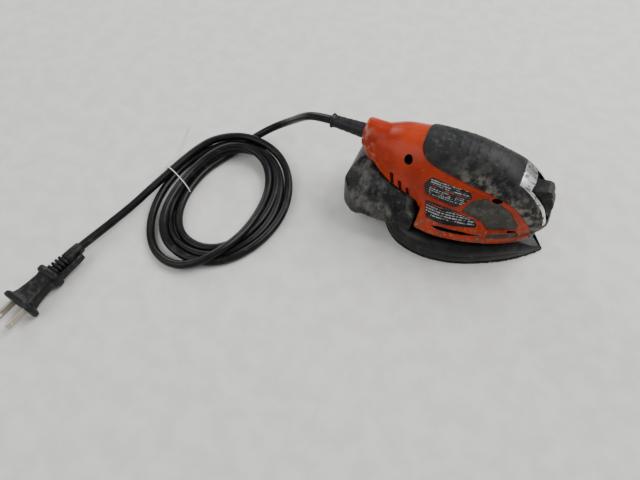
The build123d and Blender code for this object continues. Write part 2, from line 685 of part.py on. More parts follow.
def main():
    os.makedirs("parts", exist_ok=True)
    right, left = housing_halves()
    save(right, "housing_right")
    save(left, "housing_left")
    grip_zone = side_prism(GRIP_SIDE) - bezel_region(0.2)
    save(overlay(grip_zone, GRIP_THICKNESS, rocker_room()), "top_grip")
    save(overlay(bezel_region(), GRIP_THICKNESS, rocker_room()), "switch_bezel")
    for points, thickness, names in [
        (PANEL_SIDE, PANEL_THICKNESS, "side_panel"),
        (LABEL_UPPER, LABEL_THICKNESS, "upper_label"),
        (LABEL_LOWER, LABEL_THICKNESS, "lower_label"),
        (STRIP_SIDE, PANEL_THICKNESS, "skirt_strip"),
    ]:
        layer = overlay(side_prism(points), thickness)
        for x, z, seat in SCREW_PLACES:
            layer -= Pos(x, -50, z) * Rot(90, 0, 0) * Cylinder(SCREW_HEAD_R + 0.3, 100)
        for half, word in zip(sides(layer), ("right", "left")):
            save(half, f"{names}_{word}")
    save(housing_screws(), "housing_screws")
    save(field_stack(), "field_stack")
    save(field_coils(), "field_coils")
    save(bearing(*UPPER_BEARING, 3.0), "upper_bearing")
    save(ring(76.5, UPPER_BEARING[1] + 0.8, 9.6, UPPER_BEARING[2]), "bearing_boot")
    save(bearing(*LOWER_BEARING, SHAFT_R), "lower_bearing")
    save(bearing_plate(), "bearing_plate")
    gear = [brush_gear(side) for side in (-1, 1)]
    save(Compound([g[0] for g in gear]), "brush_holders")
    save(Compound([g[1] for g in gear]), "carbon_brushes")
    save(Compound([coil for g in gear for coil in g[2]]), "brush_springs")
    save(switch_body(), "switch_body")
    save(on_slope(across(1.5, 18)), "rocker_pin")
    save(rocker(), "switch_rocker")
    save(collar_and_relief(), "strain_relief")
    save(along_x(CORD_D / 2, RELIEF_END_X + 1.1, -43.0), "inner_cord")
    save(cord_clamp(), "cord_clamp")
    save(clamp_screws(), "clamp_screws")
    save(lead_wires(), "lead_wires")
    save(platen_legs(), "platen_legs")
    save(leg_screws(), "leg_screws")
    save(canister_seal(), "canister_seal")
    save(motor_shaft(), "motor_shaft")
    save(armature_core(), "armature_core")
    save(armature_windings(), "armature_windings")
    save(commutator(), "commutator")
    save(fan(), "fan")
    save(eccentric(), "eccentric")
    save(platen_screw(), "platen_screw")
    save(platen(), "platen")
    save(Pos(ORBIT_RADIUS, 0, 0) * bearing(*PLATEN_BEARING, SHAFT_R + RUNNING), "platen_bearing")
    save(foam_pad(), "foam_pad")
    save(hook_pad(), "hook_pad")
    save(sanding_sheet(), "sanding_sheet")
    save(tip_sheet(), "tip_sheet")
    save(canister_shell(), "canister_shell")
    save(filter_frame(), "filter_frame")
    save(dust_filter(), "dust_filter")
    for name, route in (("cord_lead", LEAD_ROUTE), ("cord_tail", TAIL_ROUTE)):
        tube, radii = wire(route, CORD_D / 2)
        print(name, "radii", [round(r) for r in radii])
        save(tube, name)
    save(coil_form(), "cord_coil")
    save(coil_tie(), "coil_tie")
    save(plug_sleeve(), "plug_sleeve")
    save(plug_body(), "plug_body")
    save(plug_blades(), "plug_blades")
    save(cord_clip(), "cord_clip")


main()
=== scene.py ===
"""Looks of the corded detail sander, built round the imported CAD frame. Lengths below are millimetres."""
import contextlib
import functools
import json
import math
import random

import bmesh
import bpy
import numpy as np
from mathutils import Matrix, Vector


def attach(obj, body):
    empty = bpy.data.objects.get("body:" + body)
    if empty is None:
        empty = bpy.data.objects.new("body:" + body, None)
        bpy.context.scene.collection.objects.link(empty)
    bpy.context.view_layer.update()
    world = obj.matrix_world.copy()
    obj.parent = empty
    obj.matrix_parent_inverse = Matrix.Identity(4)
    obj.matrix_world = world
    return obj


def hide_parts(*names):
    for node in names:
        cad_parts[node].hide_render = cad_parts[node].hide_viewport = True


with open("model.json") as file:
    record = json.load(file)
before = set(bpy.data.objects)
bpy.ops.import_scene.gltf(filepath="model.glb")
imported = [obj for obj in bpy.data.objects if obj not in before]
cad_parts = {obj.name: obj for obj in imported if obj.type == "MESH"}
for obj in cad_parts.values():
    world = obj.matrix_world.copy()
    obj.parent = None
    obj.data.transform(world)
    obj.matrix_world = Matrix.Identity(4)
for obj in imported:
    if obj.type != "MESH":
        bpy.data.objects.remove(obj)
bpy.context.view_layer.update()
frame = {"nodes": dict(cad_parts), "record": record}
MM = 0.001

# ---- camera, light and floor
CAMERA_PLACE = (20.3, -276.3, 354.15)
CAMERA_PITCH, CAMERA_TURN = 57, 24.59    # degrees down from level and round from +Y
CAMERA_LENS = 28.125
FLOOR_REACH = 3.0       # metres from the middle to an edge
FLOOR_DROP = 0.0002     # metres below the lowest points, so that nothing flickers


def make_camera():
    data = bpy.data.cameras.new("camera")
    data.lens = CAMERA_LENS
    data.sensor_width = 36.0
    data.clip_start = 0.01
    camera = linked("camera", data)
    camera.location = Vector(CAMERA_PLACE) * MM
    camera.rotation_euler = (math.radians(90 - CAMERA_PITCH), 0, math.radians(CAMERA_TURN))
    bpy.context.scene.camera = camera


def add_light(name, place, aim, size, power):
    """Square area light; place, aim and size in metres, power in watts."""
    data = bpy.data.lights.new(name, "AREA")
    data.shape = "SQUARE"
    data.size = size
    data.energy = power
    light = linked(name, data)
    light.location = place
    light.rotation_euler = (Vector(aim) - Vector(place)).to_track_quat("-Z", "Y").to_euler()


def make_studio():
    world = bpy.data.worlds.new("studio")
    bpy.context.scene.world = world
    world.use_nodes = True
    background = world.node_tree.nodes["Background"]
    background.inputs["Color"].default_value = (0.93, 0.95, 1, 1)
    background.inputs["Strength"].default_value = 0.35
    add_light("key", (0.45, 0.55, 1), (0, 0, 0.03), 0.9, 19)
    add_light("fill", (-0.6, -0.7, 0.8), (0, 0, 0.03), 1, 6.5)
    add_light("rim", (-0.9, 0.6, 0.6), (0, 0, 0.05), 0.6, 5.6)
    corners = [(x * FLOOR_REACH, y * FLOOR_REACH, 0) for x, y in ((-1, -1), (1, -1), (1, 1), (-1, 1))]
    floor = new_object("floor", corners, [(0, 1, 2, 3)], 1)
    floor.location.z = -FLOOR_DROP
    paint = Finish("floor_paper", (0.63, 0.62, 0.58), 0.8)
    paint.vary((0.69, 0.685, 0.645), 0.6)
    paint.wear_on(floor)


# ---- meshes
def linked(name, data):
    """Object in the scene that holds the data."""
    thing = bpy.data.objects.new(name, data)
    bpy.context.scene.collection.objects.link(thing)
    return thing


@contextlib.contextmanager
def editing(thing):
    """The thing's mesh, open for changes."""
    mesh = bmesh.new()
    mesh.from_mesh(thing.data)
    yield mesh
    mesh.to_mesh(thing.data)
    mesh.free()


def new_object(name, points, faces, scale=MM):
    """Mesh object from points and faces."""
    mesh = bpy.data.meshes.new(name)
    mesh.from_pydata([tuple(float(c) * scale for c in p) for p in points], [], [tuple(f) for f in faces])
    mesh.update()
    return linked(name, mesh)


def shade(thing, angle=40):
    """Smooth shading that keeps edges sharper than angle; 0 keeps none."""
    mesh = thing.data
    mesh.polygons.foreach_set("use_smooth", [True] * len(mesh.polygons))
    mesh.update()
    if angle:
        limit = math.radians(angle)
        with editing(thing) as open_mesh:
            for edge in open_mesh.edges:
                if len(edge.link_faces) == 2 and edge.calc_face_angle(0) > limit:
                    edge.smooth = False
    return thing


def apply_modifiers(thing):
    """Bakes the modifiers into a plain mesh."""
    bpy.context.view_layer.update()
    graph = bpy.context.evaluated_depsgraph_get()
    baked = bpy.data.meshes.new_from_object(thing.evaluated_get(graph))
    thing.modifiers.clear()
    thing.data = baked
    return thing


def loft(name, rings):
    """Closed solid through rings of equal point counts, with flat ends."""
    points = [p for ring in rings for p in ring]
    loops = np.arange(len(points)).reshape(len(rings), -1).tolist()
    faces = []
    for low, high in zip(loops, loops[1:]):
        faces += zip(low, low[1:] + low[:1], high[1:] + high[:1], high)
    faces += [loops[0][::-1], loops[-1]]
    thing = new_object(name, points, faces)
    with editing(thing) as mesh:
        bmesh.ops.recalc_face_normals(mesh, faces=mesh.faces)
    return thing


def join(things, name):
    """One object holding every mesh given."""
    mesh = bmesh.new()
    for thing in things:
        mesh.from_mesh(thing.data)
        bpy.data.objects.remove(thing)
    data = bpy.data.meshes.new(name)
    mesh.to_mesh(data)
    mesh.free()
    return linked(name, data)


def fuse(thing, voxel, rounds):
    """Melts overlapping solids into one skin and softens its edges."""
    remesh = thing.modifiers.new("fuse", "REMESH")
    remesh.mode = "VOXEL"
    remesh.voxel_size = voxel * MM
    soften = thing.modifiers.new("soften", "SMOOTH")
    soften.iterations = rounds
    return apply_modifiers(thing)


def read_rows(items, key):
    """A vector property of every item, one row each."""
    values = np.zeros(len(items) * 3)
    items.foreach_get(key, values)
    return values.reshape(-1, 3)


def vertices(thing):
    return read_rows(thing.data.vertices, "co") / MM


def normals(thing):
    return read_rows(thing.data.vertex_normals, "vector")


def set_vertices(thing, co):
    thing.data.vertices.foreach_set("co", (co * MM).ravel())
    thing.data.update()


def part_of(name, points, faces):
    """Object with some faces of a mesh and the points they use, and those points' numbers."""
    used = sorted({i for face in faces for i in face})
    number = {old: new for new, old in enumerate(used)}
    return new_object(name, points[used], [[number[i] for i in face] for face in faces]), used


def full_turn(count):
    """Angles all round, evenly spaced."""
    return np.linspace(0, 2 * math.pi, count + 1)[:-1]


def signed_power(value, power):
    return math.copysign(abs(value) ** power, value)


def curve_through(rows, at):
    """Smooth cubic through rows of (position, values...), read at the positions given."""
    rows = np.array(rows, float)
    x, values = rows[:, 0], rows[:, 1:]
    slopes = np.gradient(values, x, axis=0)
    at = np.clip(at, x[0], x[-1])
    i = np.clip(np.searchsorted(x, at, side="right") - 1, 0, len(x) - 2)
    span = (x[i + 1] - x[i])[:, None]
    t = ((at - x[i])[:, None]) / span
    start = (1 + 2 * t) * values[i] + t * span * slopes[i]
    end = (3 - 2 * t) * values[i + 1] + (t - 1) * span * slopes[i + 1]
    return (1 - t) ** 2 * start + t ** 2 * end


def rounded(outline, radius=2):
    """Closed outline with each corner turned into a short curve."""
    corners = np.array(outline, float)
    points = []
    neighbours = zip(np.roll(corners, 1, axis=0), corners, np.roll(corners, -1, axis=0))
    for before, here, after in neighbours:
        near = here + (before - here) * min(0.45, radius / np.linalg.norm(before - here))
        far = here + (after - here) * min(0.45, radius / np.linalg.norm(after - here))
        for t in (0, 0.25, 0.5, 0.75, 1):
            points.append((1 - t) ** 2 * near + 2 * t * (1 - t) * here + t * t * far)
    return np.array(points)


def signed_distance(points, outline):
    """Distance of each point to a closed outline, positive inside."""
    best = np.full(len(points), 1e9)
    inside = np.zeros(len(points), bool)
    for p, q in zip(outline, np.roll(outline, -1, axis=0)):
        edge = q - p
        rel = points - p
        t = np.clip(rel @ edge / (edge @ edge + 1e-12), 0, 1)
        best = np.minimum(best, np.linalg.norm(rel - t[:, None] * edge, axis=1))
        crosses = (p[1] > points[:, 1]) != (q[1] > points[:, 1])
        hit = p[0] + (points[:, 1] - p[1]) * edge[0] / (edge[1] if edge[1] else 1e-12)
        inside ^= crosses & (points[:, 0] < hit)
    return np.where(inside, best, -best)


def ease(value, low, high):
    """Smooth step from 0 at low to 1 at high."""
    t = np.clip((value - low) / (high - low), 0, 1)
    return t * t * (3 - 2 * t)


# ---- materials
class Finish:
    """A procedural material on one Principled shader, built up layer by layer."""

    def __init__(self, name, colour, roughness, metallic=0):
        self.material = bpy.data.materials.new(name)
        self.material.use_nodes = True
        self.tree = self.material.node_tree
        self.shader = self.tree.nodes["Principled BSDF"]
        for target, value in (("Base Color", (*colour, 1)), ("Roughness", roughness), ("Metallic", metallic),
                              ("Specular IOR Level", 0.5 if metallic else 0.18)):
            self.shader.inputs[target].default_value = value
        self.place = self.node("ShaderNodeTexCoord").outputs["Object"]

    def node(self, kind, inputs=None, **settings):
        """Node with its settings and its inputs, each a number or the socket that feeds it."""
        made = self.tree.nodes.new(kind)
        for key, value in settings.items():
            setattr(made, key, value)
        for key, value in (inputs or {}).items():
            if isinstance(value, bpy.types.NodeSocket):
                self.link(value, made.inputs[key])
            else:
                made.inputs[key].default_value = value
        return made

    def link(self, source, target):
        self.tree.links.new(source, target)

    def noise(self, scale, detail=4, stretch=(1, 1, 1), rough=0.55):
        """Noise between about 0.3 and 0.7, scale in cycles per 10 mm."""
        place = self.node("ShaderNodeMapping", {"Scale": [s * 100 for s in stretch], "Vector": self.place})
        inputs = {"Scale": scale, "Detail": detail, "Roughness": rough, "Vector": place.outputs["Vector"]}
        return self.node("ShaderNodeTexNoise", inputs).outputs["Fac"]

    def ramp(self, source, low, high, top=1):
        """Eased 0 to top as the source goes from low to high, whichever of the two is larger."""
        ends = (0, top) if low < high else (top, 0)
        inputs = {"Value": source, "From Min": min(low, high), "From Max": max(low, high),
                  "To Min": ends[0], "To Max": ends[1]}
        return self.node("ShaderNodeMapRange", inputs, interpolation_type="SMOOTHSTEP").outputs["Result"]

    def compute(self, operation, *operands):
        """Math node on sockets or plain numbers."""
        return self.node("ShaderNodeMath", dict(enumerate(operands)), operation=operation).outputs[0]

    def times(self, a, b):
        return self.compute("MULTIPLY", a, b)

    def cover(self, target, mask, value):
        """Lays a colour or a number over what a shader socket has, where the mask says."""
        kind, under, over, out = ("RGBA", 6, 7, 2) if target == "Base Color" else ("FLOAT", 2, 3, 0)
        socket = self.shader.inputs[target]
        below = socket.links[0].from_socket if socket.is_linked else socket.default_value
        mix = self.node("ShaderNodeMix", {0: mask, under: below, over: value}, data_type=kind)
        self.link(mix.outputs[out], socket)

    def paint(self, mask, colour):
        self.cover("Base Color", mask, (*colour, 1))

    def bump(self, source, depth):
        """Adds relief, depth in millimetres."""
        normal = self.shader.inputs["Normal"]
        bump = self.node("ShaderNodeBump", {"Distance": depth * MM, "Height": source})
        if normal.is_linked:
            self.link(normal.links[0].from_socket, bump.inputs["Normal"])
        self.link(bump.outputs["Normal"], normal)

    def vary(self, colour, scale, amount=1):
        """Slow drift towards another colour."""
        self.paint(self.ramp(self.noise(scale), 0.35, 0.65, amount), colour)

    def slope_mask(self, direction, low, high):
        """0 to 1 along a direction, between two distances in millimetres."""
        inputs = {0: self.place, 1: [c / MM for c in direction]}
        along = self.node("ShaderNodeVectorMath", inputs, operation="DOT_PRODUCT")
        return self.ramp(along.outputs["Value"], low, high)

    def dust(self, colour, scale, low, high, amount, rough=0.9, stretch=(1, 1, 1), within=None):
        """Patches of dirt that dull the surface, within a mask if one is given."""
        patches = self.ramp(self.noise(scale, 6, stretch, 0.62), low, high, amount)
        if within is not None:
            patches = self.times(patches, within)
        self.paint(patches, colour)
        self.cover("Roughness", patches, rough)

    def grain(self, scale, depth):
        """Fine relief all over, depth in millimetres."""
        self.bump(self.noise(scale, 2), depth)

    def wear_on(self, thing):
        thing.data.materials.clear()
        thing.data.materials.append(self.material)


# ---- cord and plug
CORD_D = 7
CORD_AXIS_Z = 70    # where the cord leaves the housing
LEAD = [(-96, 0, 70), (-108.4, 2, 67), (-119.7, 5.6, 60.4), (-131.1, 11.7, 48.3), (-141.3, 17.6, 36.2),
        (-151, 20.7, 26.7), (-161.3, 19.8, 18.7), (-171.4, 15.1, 11.8), (-180.2, 6.9, 6.5),
        (-186.9, -3.9, 3.7)]
TAIL = [(-230.6, -85, 9.6), (-234.5, -104, 8.2), (-240, -124, 7.3), (-245, -143.5, 7.4),
        (-248.6, -160, 8.2)]
# The coil runs by quarter turns. Each side starts at its own quarter and has one reach a turn; the height
# is given as pairs of quarter turn and height.
COIL_SIDES = ((4, (-127.5, -120.6, -133.5, -113.8)),       # right
              (1, (-4, -8.5, -3, -11, 2)),                 # top
              (2, (-204, -210.8, -225, -209.5, -228)),     # left
              (3, (-117.5, -124.5, -142, -132)))           # bottom
COIL_HEIGHT = [(1.3, 3.5), (4, 3.5), (4.6, 8), (5.2, 10.5), (5.7, 6), (6.2, 3.5), (8, 3.5), (8.6, 8),
               (9.2, 10.5), (9.7, 6), (10.2, 3.5), (11, 4), (11.25, 8), (11.55, 10.8), (11.9, 6),
               (12.3, 5), (12.8, 12), (13.2, 17), (13.8, 11), (14.2, 10.3), (14.8, 9), (15.2, 3.6),
               (16.2, 4), (16.8, 12), (17.2, 16.5), (17.7, 13), (18, 11)]
COIL_START, COIL_END, COIL_POINTS = 1.5, 17.6, 65
COIL_SQUARENESS = 0.92    # 1 is an ellipse
PLUG_START = TAIL[-1]
PLUG_HEADING = math.radians(263)
BLADE_START, BLADE_END, BLADE_HOLE = 61.5, 79, 74.5    # along the plug
BLADE_HALF, BLADE_THICK, BLADE_SPACING = 3.1, 1.5, 12.7
SLEEVE_BANDS, SLEEVE_PITCH = 4, 3.3


def coil_points():
    """Turns of the coil: a squarish ellipse whose four sides wander from turn to turn."""
    heights = np.array(COIL_HEIGHT)
    points = []
    for quarter in np.linspace(COIL_START, COIL_END, COIL_POINTS):
        right, top, left, bottom = [np.interp(quarter, [first + 4 * i for i in range(len(side))], side)
                                    for first, side in COIL_SIDES]
        angle = quarter * math.pi / 2
        x = (left + right) / 2 + (right - left) / 2 * signed_power(math.cos(angle), COIL_SQUARENESS)
        y = (top + bottom) / 2 + (top - bottom) / 2 * math.sin(angle)
        points.append((x, y, np.interp(quarter, heights[:, 0], heights[:, 1])))
    return points


def tube(name, points, diameter):
    """Round tube along one smooth curve."""
    curve = bpy.data.curves.new(name, "CURVE")
    curve.dimensions = "3D"
    curve.bevel_depth = diameter / 2 * MM
    curve.bevel_resolution = 6
    curve.resolution_u = 6
    curve.use_fill_caps = True
    spline = curve.splines.new("NURBS")
    spline.points.add(len(points) - 1)
    for knot, place in zip(spline.points, points):
        knot.co = (*[float(c) * MM for c in place], 1)
    spline.order_u = 3
    spline.use_endpoint_u = True
    return linked(name, curve)


def at_plug(points):
    """Places points given along the plug: x from the cord to the blades, z up from the cord's axis."""
    c, s = math.cos(PLUG_HEADING), math.sin(PLUG_HEADING)
    x0, y0, z0 = PLUG_START
    return [(x0 + c * x - s * y, y0 + s * x + c * y, z0 + z) for x, y, z in points]


def oblong(x, half_y, half_z, power, count=48):
    """Rounded rectangle across the plug's length; power 2 is an ellipse and more is squarer."""
    return [(x, half_y * signed_power(math.cos(a), 2 / power), half_z * signed_power(math.sin(a), 2 / power))
            for a in full_turn(count)]


def plug_form(name, rows):
    """Solid along the plug from rows of (x, half width, half height, power)."""
    return loft(name, [at_plug(oblong(*row)) for row in rows])


def bevel(thing, width):
    """Rounds the sharp edges."""
    edge = thing.modifiers.new("edge", "BEVEL")
    edge.width = width * MM
    edge.limit_method = "ANGLE"
    edge.angle_limit = math.radians(35)
    edge.segments = 3
    return apply_modifiers(thing)


def make_sleeve():
    """Tapered sleeve with bands that stand proud, near the plug's body."""
    rows = [(-1, 4.2, 4.2, 2), (0, 4.7, 4.7, 2), (5, 5.1, 5.1, 2), (14.2, 5.6, 5.6, 2)]
    for i in range(SLEEVE_BANDS):
        start, tall = 14.6 + i * SLEEVE_PITCH, 6.1 + 0.15 * i
        rows += [(start, 4.6, 4.6, 2), (start + 0.9, 4.6, 4.6, 2), (start + 1.1, tall, tall, 2.4),
                 (start + 2.9, tall, tall, 2.4)]
    rows += [(28.2, 5, 5, 2)]
    sleeve = bevel(plug_form("plug_sleeve_moulding", rows), 0.25)
    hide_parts("plug_sleeve")
    return shade(sleeve)


def make_plug_body():
    rows = [(27.6, 7.5, 5.2, 3), (28.2, 10.4, 7, 3.4), (29.2, 11, 7.7, 3.6), (32.6, 11, 7.7, 3.6),
            (33.6, 10.2, 7, 3.4), (34.2, 8.6, 6.2, 3.2), (37, 7.9, 6, 3.2), (46, 8.4, 6.3, 3.4),
            (53, 9.3, 6.8, 3.6), (56.4, 10.4, 7.2, 3.8), (57.2, 13.2, 7.7, 4.2), (58, 14.6, 8, 4.6),
            (60.8, 14.9, 8.1, 4.6), (61.7, 14.2, 7.6, 4.6), (62, 13.2, 6.9, 4.6)]
    body = plug_form("plug_body_moulding", rows)
    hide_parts("plug_body")
    return shade(body)


def flat_shape(name, outlines, thickness, corner=0):
    """Plate of even thickness from an outline and its holes, lying in the XY plane, centred on z = 0."""
    curve = bpy.data.curves.new(name, "CURVE")
    curve.dimensions = "2D"
    curve.fill_mode = "BOTH"
    curve.extrude = (thickness / 2 - corner) * MM
    curve.bevel_depth = corner * MM
    curve.bevel_resolution = 1
    for outline in outlines:
        spline = curve.splines.new("POLY")
        spline.points.add(len(outline) - 1)
        for knot, (x, y) in zip(spline.points, outline):
            knot.co = (float(x) * MM, float(y) * MM, 0, 1)
        spline.use_cyclic_u = True
    source = linked(name, curve)
    bpy.context.view_layer.update()
    graph = bpy.context.evaluated_depsgraph_get()
    mesh = bpy.data.meshes.new_from_object(source.evaluated_get(graph))
    bpy.data.objects.remove(source)
    mesh.name = name
    return linked(name, mesh)


def circle(x, y, radius):
    return [(x + radius * math.cos(a), y + radius * math.sin(a)) for a in full_turn(24)]


def make_blades():
    """Two flat blades with rounded tips and a hole near each tip."""
    blades = []
    for side in (-BLADE_SPACING / 2, BLADE_SPACING / 2):
        tip = [(BLADE_END - 2 * (1 - math.cos(a)), BLADE_HALF * math.sin(a))
               for a in np.linspace(-math.pi / 2, math.pi / 2, 9)]
        outline = [(BLADE_START, -BLADE_HALF), *tip, (BLADE_START, BLADE_HALF)]
        blade = flat_shape("blade", [outline, circle(BLADE_HOLE, 0, 1.5)], BLADE_THICK, 0.15)
        co = vertices(blade)
        set_vertices(blade, np.array(at_plug([(x, side + z, y) for x, y, z in co])))
        blades.append(blade)
    both = join(blades, "plug_contact_blades")
    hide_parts("plug_blades")
    return shade(both, 30)


def make_clip():
    """Moulded tongue beside the sleeve, open at its cord end."""
    rows = [(3.6, 6.6, 1.6), (4.4, 9.6, 2.6), (8, 9.9, 3), (16, 9.9, 3), (25, 9.9, 3.1), (28, 10, 2.8)]
    rings = []
    for x, outer, half in rows:
        inner = outer - (2.8 if 6 < x < 24 else 3.6)
        ring = oblong(0, (outer - inner) / 2, half, 4, 20)
        rings.append(at_plug([(x, (outer + inner) / 2 + y, z) for _, y, z in ring]))
    tongue = loft("cord_clip_tongue", rings)
    foot = oblong(0, 1.9, 2.6, 4, 20)
    hook = loft("hook", [at_plug([(x, y + 6.9, z) for _, y, z in foot]) for x in (25, 28)])
    clip = join([tongue, hook], "cord_clip_moulding")
    bevel(clip, 0.35)
    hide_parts("cord_clip")
    return shade(clip)


def make_tie():
    """White thread once round the left side of the coil, with one long loose end."""
    loop = [(-230.8, -60.5, 10.5), (-228, -61.8, 16), (-221, -64.2, 17.6), (-212, -67.4, 15.8),
            (-203.6, -70.6, 12.6), (-199.6, -72, 6.5), (-201.4, -71.4, 0.9), (-214, -66.8, 0.7),
            (-227, -62, 1), (-231.4, -60.4, 6), (-230.6, -60.6, 12.6)]
    end = [(-231, -58, 14.2), (-232.5, -50, 9), (-235.5, -38, 3), (-240, -26, 1),
           (-245.5, -12, 0.8), (-249, 2, 0.7)]
    thread = tube("tie_thread", loop + end, 0.9)
    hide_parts("coil_tie")
    return thread


def make_cord():
    cord = tube("mains_cord", LEAD + coil_points() + TAIL, CORD_D)
    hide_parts("cord_lead", "cord_tail", "cord_coil")
    sleeve, body, clip, blades, tie = make_sleeve(), make_plug_body(), make_clip(), make_blades(), make_tie()
    jacket = Finish("cord_vinyl", (0.004, 0.0042, 0.0048), 0.3)
    jacket.vary((0.009, 0.009, 0.0085), 1.2)
    jacket.dust((0.06, 0.055, 0.048), 1.1, 0.56, 0.74, 0.5, 0.7)
    jacket.grain(14, 0.03)
    vinyl = Finish("plug_vinyl", (0.009, 0.009, 0.0095), 0.42)
    vinyl.dust((0.09, 0.08, 0.065), 2.2, 0.5, 0.72, 0.55, 0.85)
    vinyl.grain(18, 0.05)
    plating = Finish("blade_plating", (0.5, 0.46, 0.38), 0.33, 1)
    plating.dust((0.16, 0.13, 0.1), 3, 0.52, 0.7, 0.6, 0.6)
    plating.grain(10, 0.03)
    thread = Finish("tie_polyester", (0.8, 0.8, 0.78), 0.6)
    thread.vary((0.62, 0.61, 0.58), 6)
    for piece, paint, slot in ((cord, jacket, "cord_jacket"), (sleeve, vinyl, "cord_jacket"),
                               (body, vinyl, "cord_jacket"), (clip, vinyl, "cord_jacket"),
                               (blades, plating, "blade_metal"), (tie, thread, "tie_thread")):
        paint.wear_on(piece)
        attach(piece, "housing")


# ---- the body's skin
# x, crest, half width, height of the widest line, underside
BODY = [(-62, 77, 11.5, 66, 57), (-54, 79, 15.5, 61, 53.5), (-46, 82, 19.5, 57, 49.8),
        (-38, 85, 23.5, 54, 48), (-24, 87.2, 27, 51, 45), (-4, 90, 29, 46, 36), (22, 89.7, 29.5, 44, 34),
        (44, 85, 26.5, 44, 34), (60, 77.5, 21.5, 45, 33.5), (70, 69.5, 18.5, 45, 35),
        (78, 60.5, 15.5, 44, 37), (83, 50, 11.5, 43.5, 38.5), (86, 44.3, 7, 42.5, 40)]
COLLAR = [(-66, 10.9), (-65.2, 11.8), (-62, 12), (-54, 12), (-36, 12)]    # x, radius
PAD_X = 28
SKIRT_SIDE = [(-34, 39), (-19, 40.2), (0, 37.6), (20, 31.4), (36, 23.8), (48, 14.8), (53.5, 7), (55, 0)]
# height, inset
SKIRT_LEVELS = [(24, 0.3), (25, 0), (30, 0.4), (33.5, 1.4), (36, 3), (39, 5.2), (42, 7.4), (46, 9.8),
                (50, 12)]
# Outlines in side view, x and z
GRIP = [(-19.5, 100), (-18.5, 87), (-15.5, 83), (-9, 79.4), (2, 77.6), (14, 76), (29, 73.2), (41, 70.6),
        (53, 66.6), (61.5, 61.2), (68.5, 53), (75, 44.5), (79, 37.5), (79, 20), (100, 20), (100, 100)]
GRIP_HOLLOW = [(4, 87), (-8, 84), (0, 80.5), (30, 76.5), (46, 73), (40, 81)]
BEZEL = [(54.6, 100), (54.6, 60.5), (57, 56), (66, 44), (70.6, 35.7), (100, 61), (100, 100)]
BEZEL_HALF = 12.5
PANEL = [(24.5, 50.4), (29, 61.6), (37, 66.4), (46.5, 65.6), (57.4, 57.5), (66.4, 43.8), (67.2, 37.6),
         (47, 37.8), (40, 44.6)]
LABEL_UPPER = [(-8.3, 63), (-4.3, 70.6), (25.5, 68.4), (28.6, 64.4), (18.8, 51.6), (-5, 55.2)]
LABEL_LOWER = [(-3.8, 49), (0.6, 37.6), (15, 36.8), (39.4, 38.2), (34.4, 45.2), (19, 49)]
STRIP = [(48.4, 25.9), (70.4, 25.9), (70.4, 33.6), (48.4, 33.6)]
SLOT = [(6.5, 33.4), (12, 34.7), (30, 34.2), (43.5, 32.4), (30, 31.6), (12, 31.9)]
NOSE_SLOT = [(61.6, 34.9), (68.2, 34.9), (68.2, 36.5), (61.6, 36.5)]
VENTS = [[(-36.2, 60.5), (-33.6, 61), (-31.2, 51), (-33.4, 49.8)],
         [(-28.4, 56.8), (-26, 57), (-23.8, 48.8), (-26, 48)],
         [(-21.2, 53.6), (-19, 53.4), (-17.2, 47.6), (-19.4, 47.2)]]
CHEEK = [(-66, 60), (-55, 58.5), (-50.5, 59.5), (-44, 60), (-39, 58.6), (-29, 63), (-20, 60.5),
         (-12, 51.5), (-9, 40), (-9, 20), (-70, 20)]
HOLES = [(SLOT, 29), (NOSE_SLOT, 12), *[(vent, 18) for vent in VENTS]]    # outline and where it ends in y
# Screw wells on the right: x, z, half length, half height and where they end in y
WELLS = [(-24.8, 75.8, 3.1, 3.2, 10), (45.2, 66.4, 3.6, 1.9, 17)]
WELL_MOUTH, OUTSIDE = -45, 50      # y beyond the widest part
GRIP_CORNER, HOLE_CORNER = 8, 0.7  # how far from a corner its curve starts
EDGE = 1.3              # reach of the finer mesh and of a layer's sunk edge
SKIN_STEPS = 70         # sections along the upper body
ROCKER_PIVOT = (69, 0, 56)
ROOM_RADIUS, ROOM_HALF, ROOM_FLOOR = 18, 9.9, -7    # the rocker's room, about its pivot
ROOM_MARGIN = 0.5
SLOPE = math.radians(49.5)
SLOPE_COS, SLOPE_SIN = math.cos(SLOPE), math.sin(SLOPE)
PARTING_GAP = 0.00008   # metres, half of the gap between the housing's halves
SIDES = ((-1, "right"), (1, "left"))


def plan_outline(side, count, round_rear):
    """Points round a symmetric outline from its Y > 0 side, rear to front; one end is round, one sharp."""
    points = np.array(side, float)
    beyond = points[1 if round_rear else -2] * (1, -1)
    points = np.vstack([beyond, points] if round_rear else [points, beyond])
    run = np.concatenate([[0], np.cumsum(np.linalg.norm(np.diff(points, axis=0), axis=1))])
    first, last = (run[1], run[-1]) if round_rear else (0, run[-2])
    half = curve_through(np.column_stack([run, points]), np.linspace(first, last, count))
    other = (half[-2:0:-1] if round_rear else half[-2::-1]) * (1, -1)
    return np.vstack([half, other])


def moved_in(outline, inset):
    """Outline with each point moved inwards along its normal."""
    along = np.roll(outline, -1, axis=0) - np.roll(outline, 1, axis=0)
    along /= np.linalg.norm(along, axis=1)[:, None]
    inward = np.column_stack([along[:, 1], -along[:, 0]])
    return outline + inward * np.reshape(inset, (-1, 1))


def skirt_form():
    flat = plan_outline(SKIRT_SIDE, 60, round_rear=False)
    rings = []
    for z, inset in SKIRT_LEVELS:
        ring = moved_in(flat, inset)
        ring[[0, -1], 0] = SKIRT_SIDE[0][0]
        ring[[0, -1], 1] = (SKIRT_SIDE[0][1] - inset, inset - SKIRT_SIDE[0][1])
        rings.append([(x + PAD_X, y, z) for x, y in ring])
    return loft("skirt", rings)


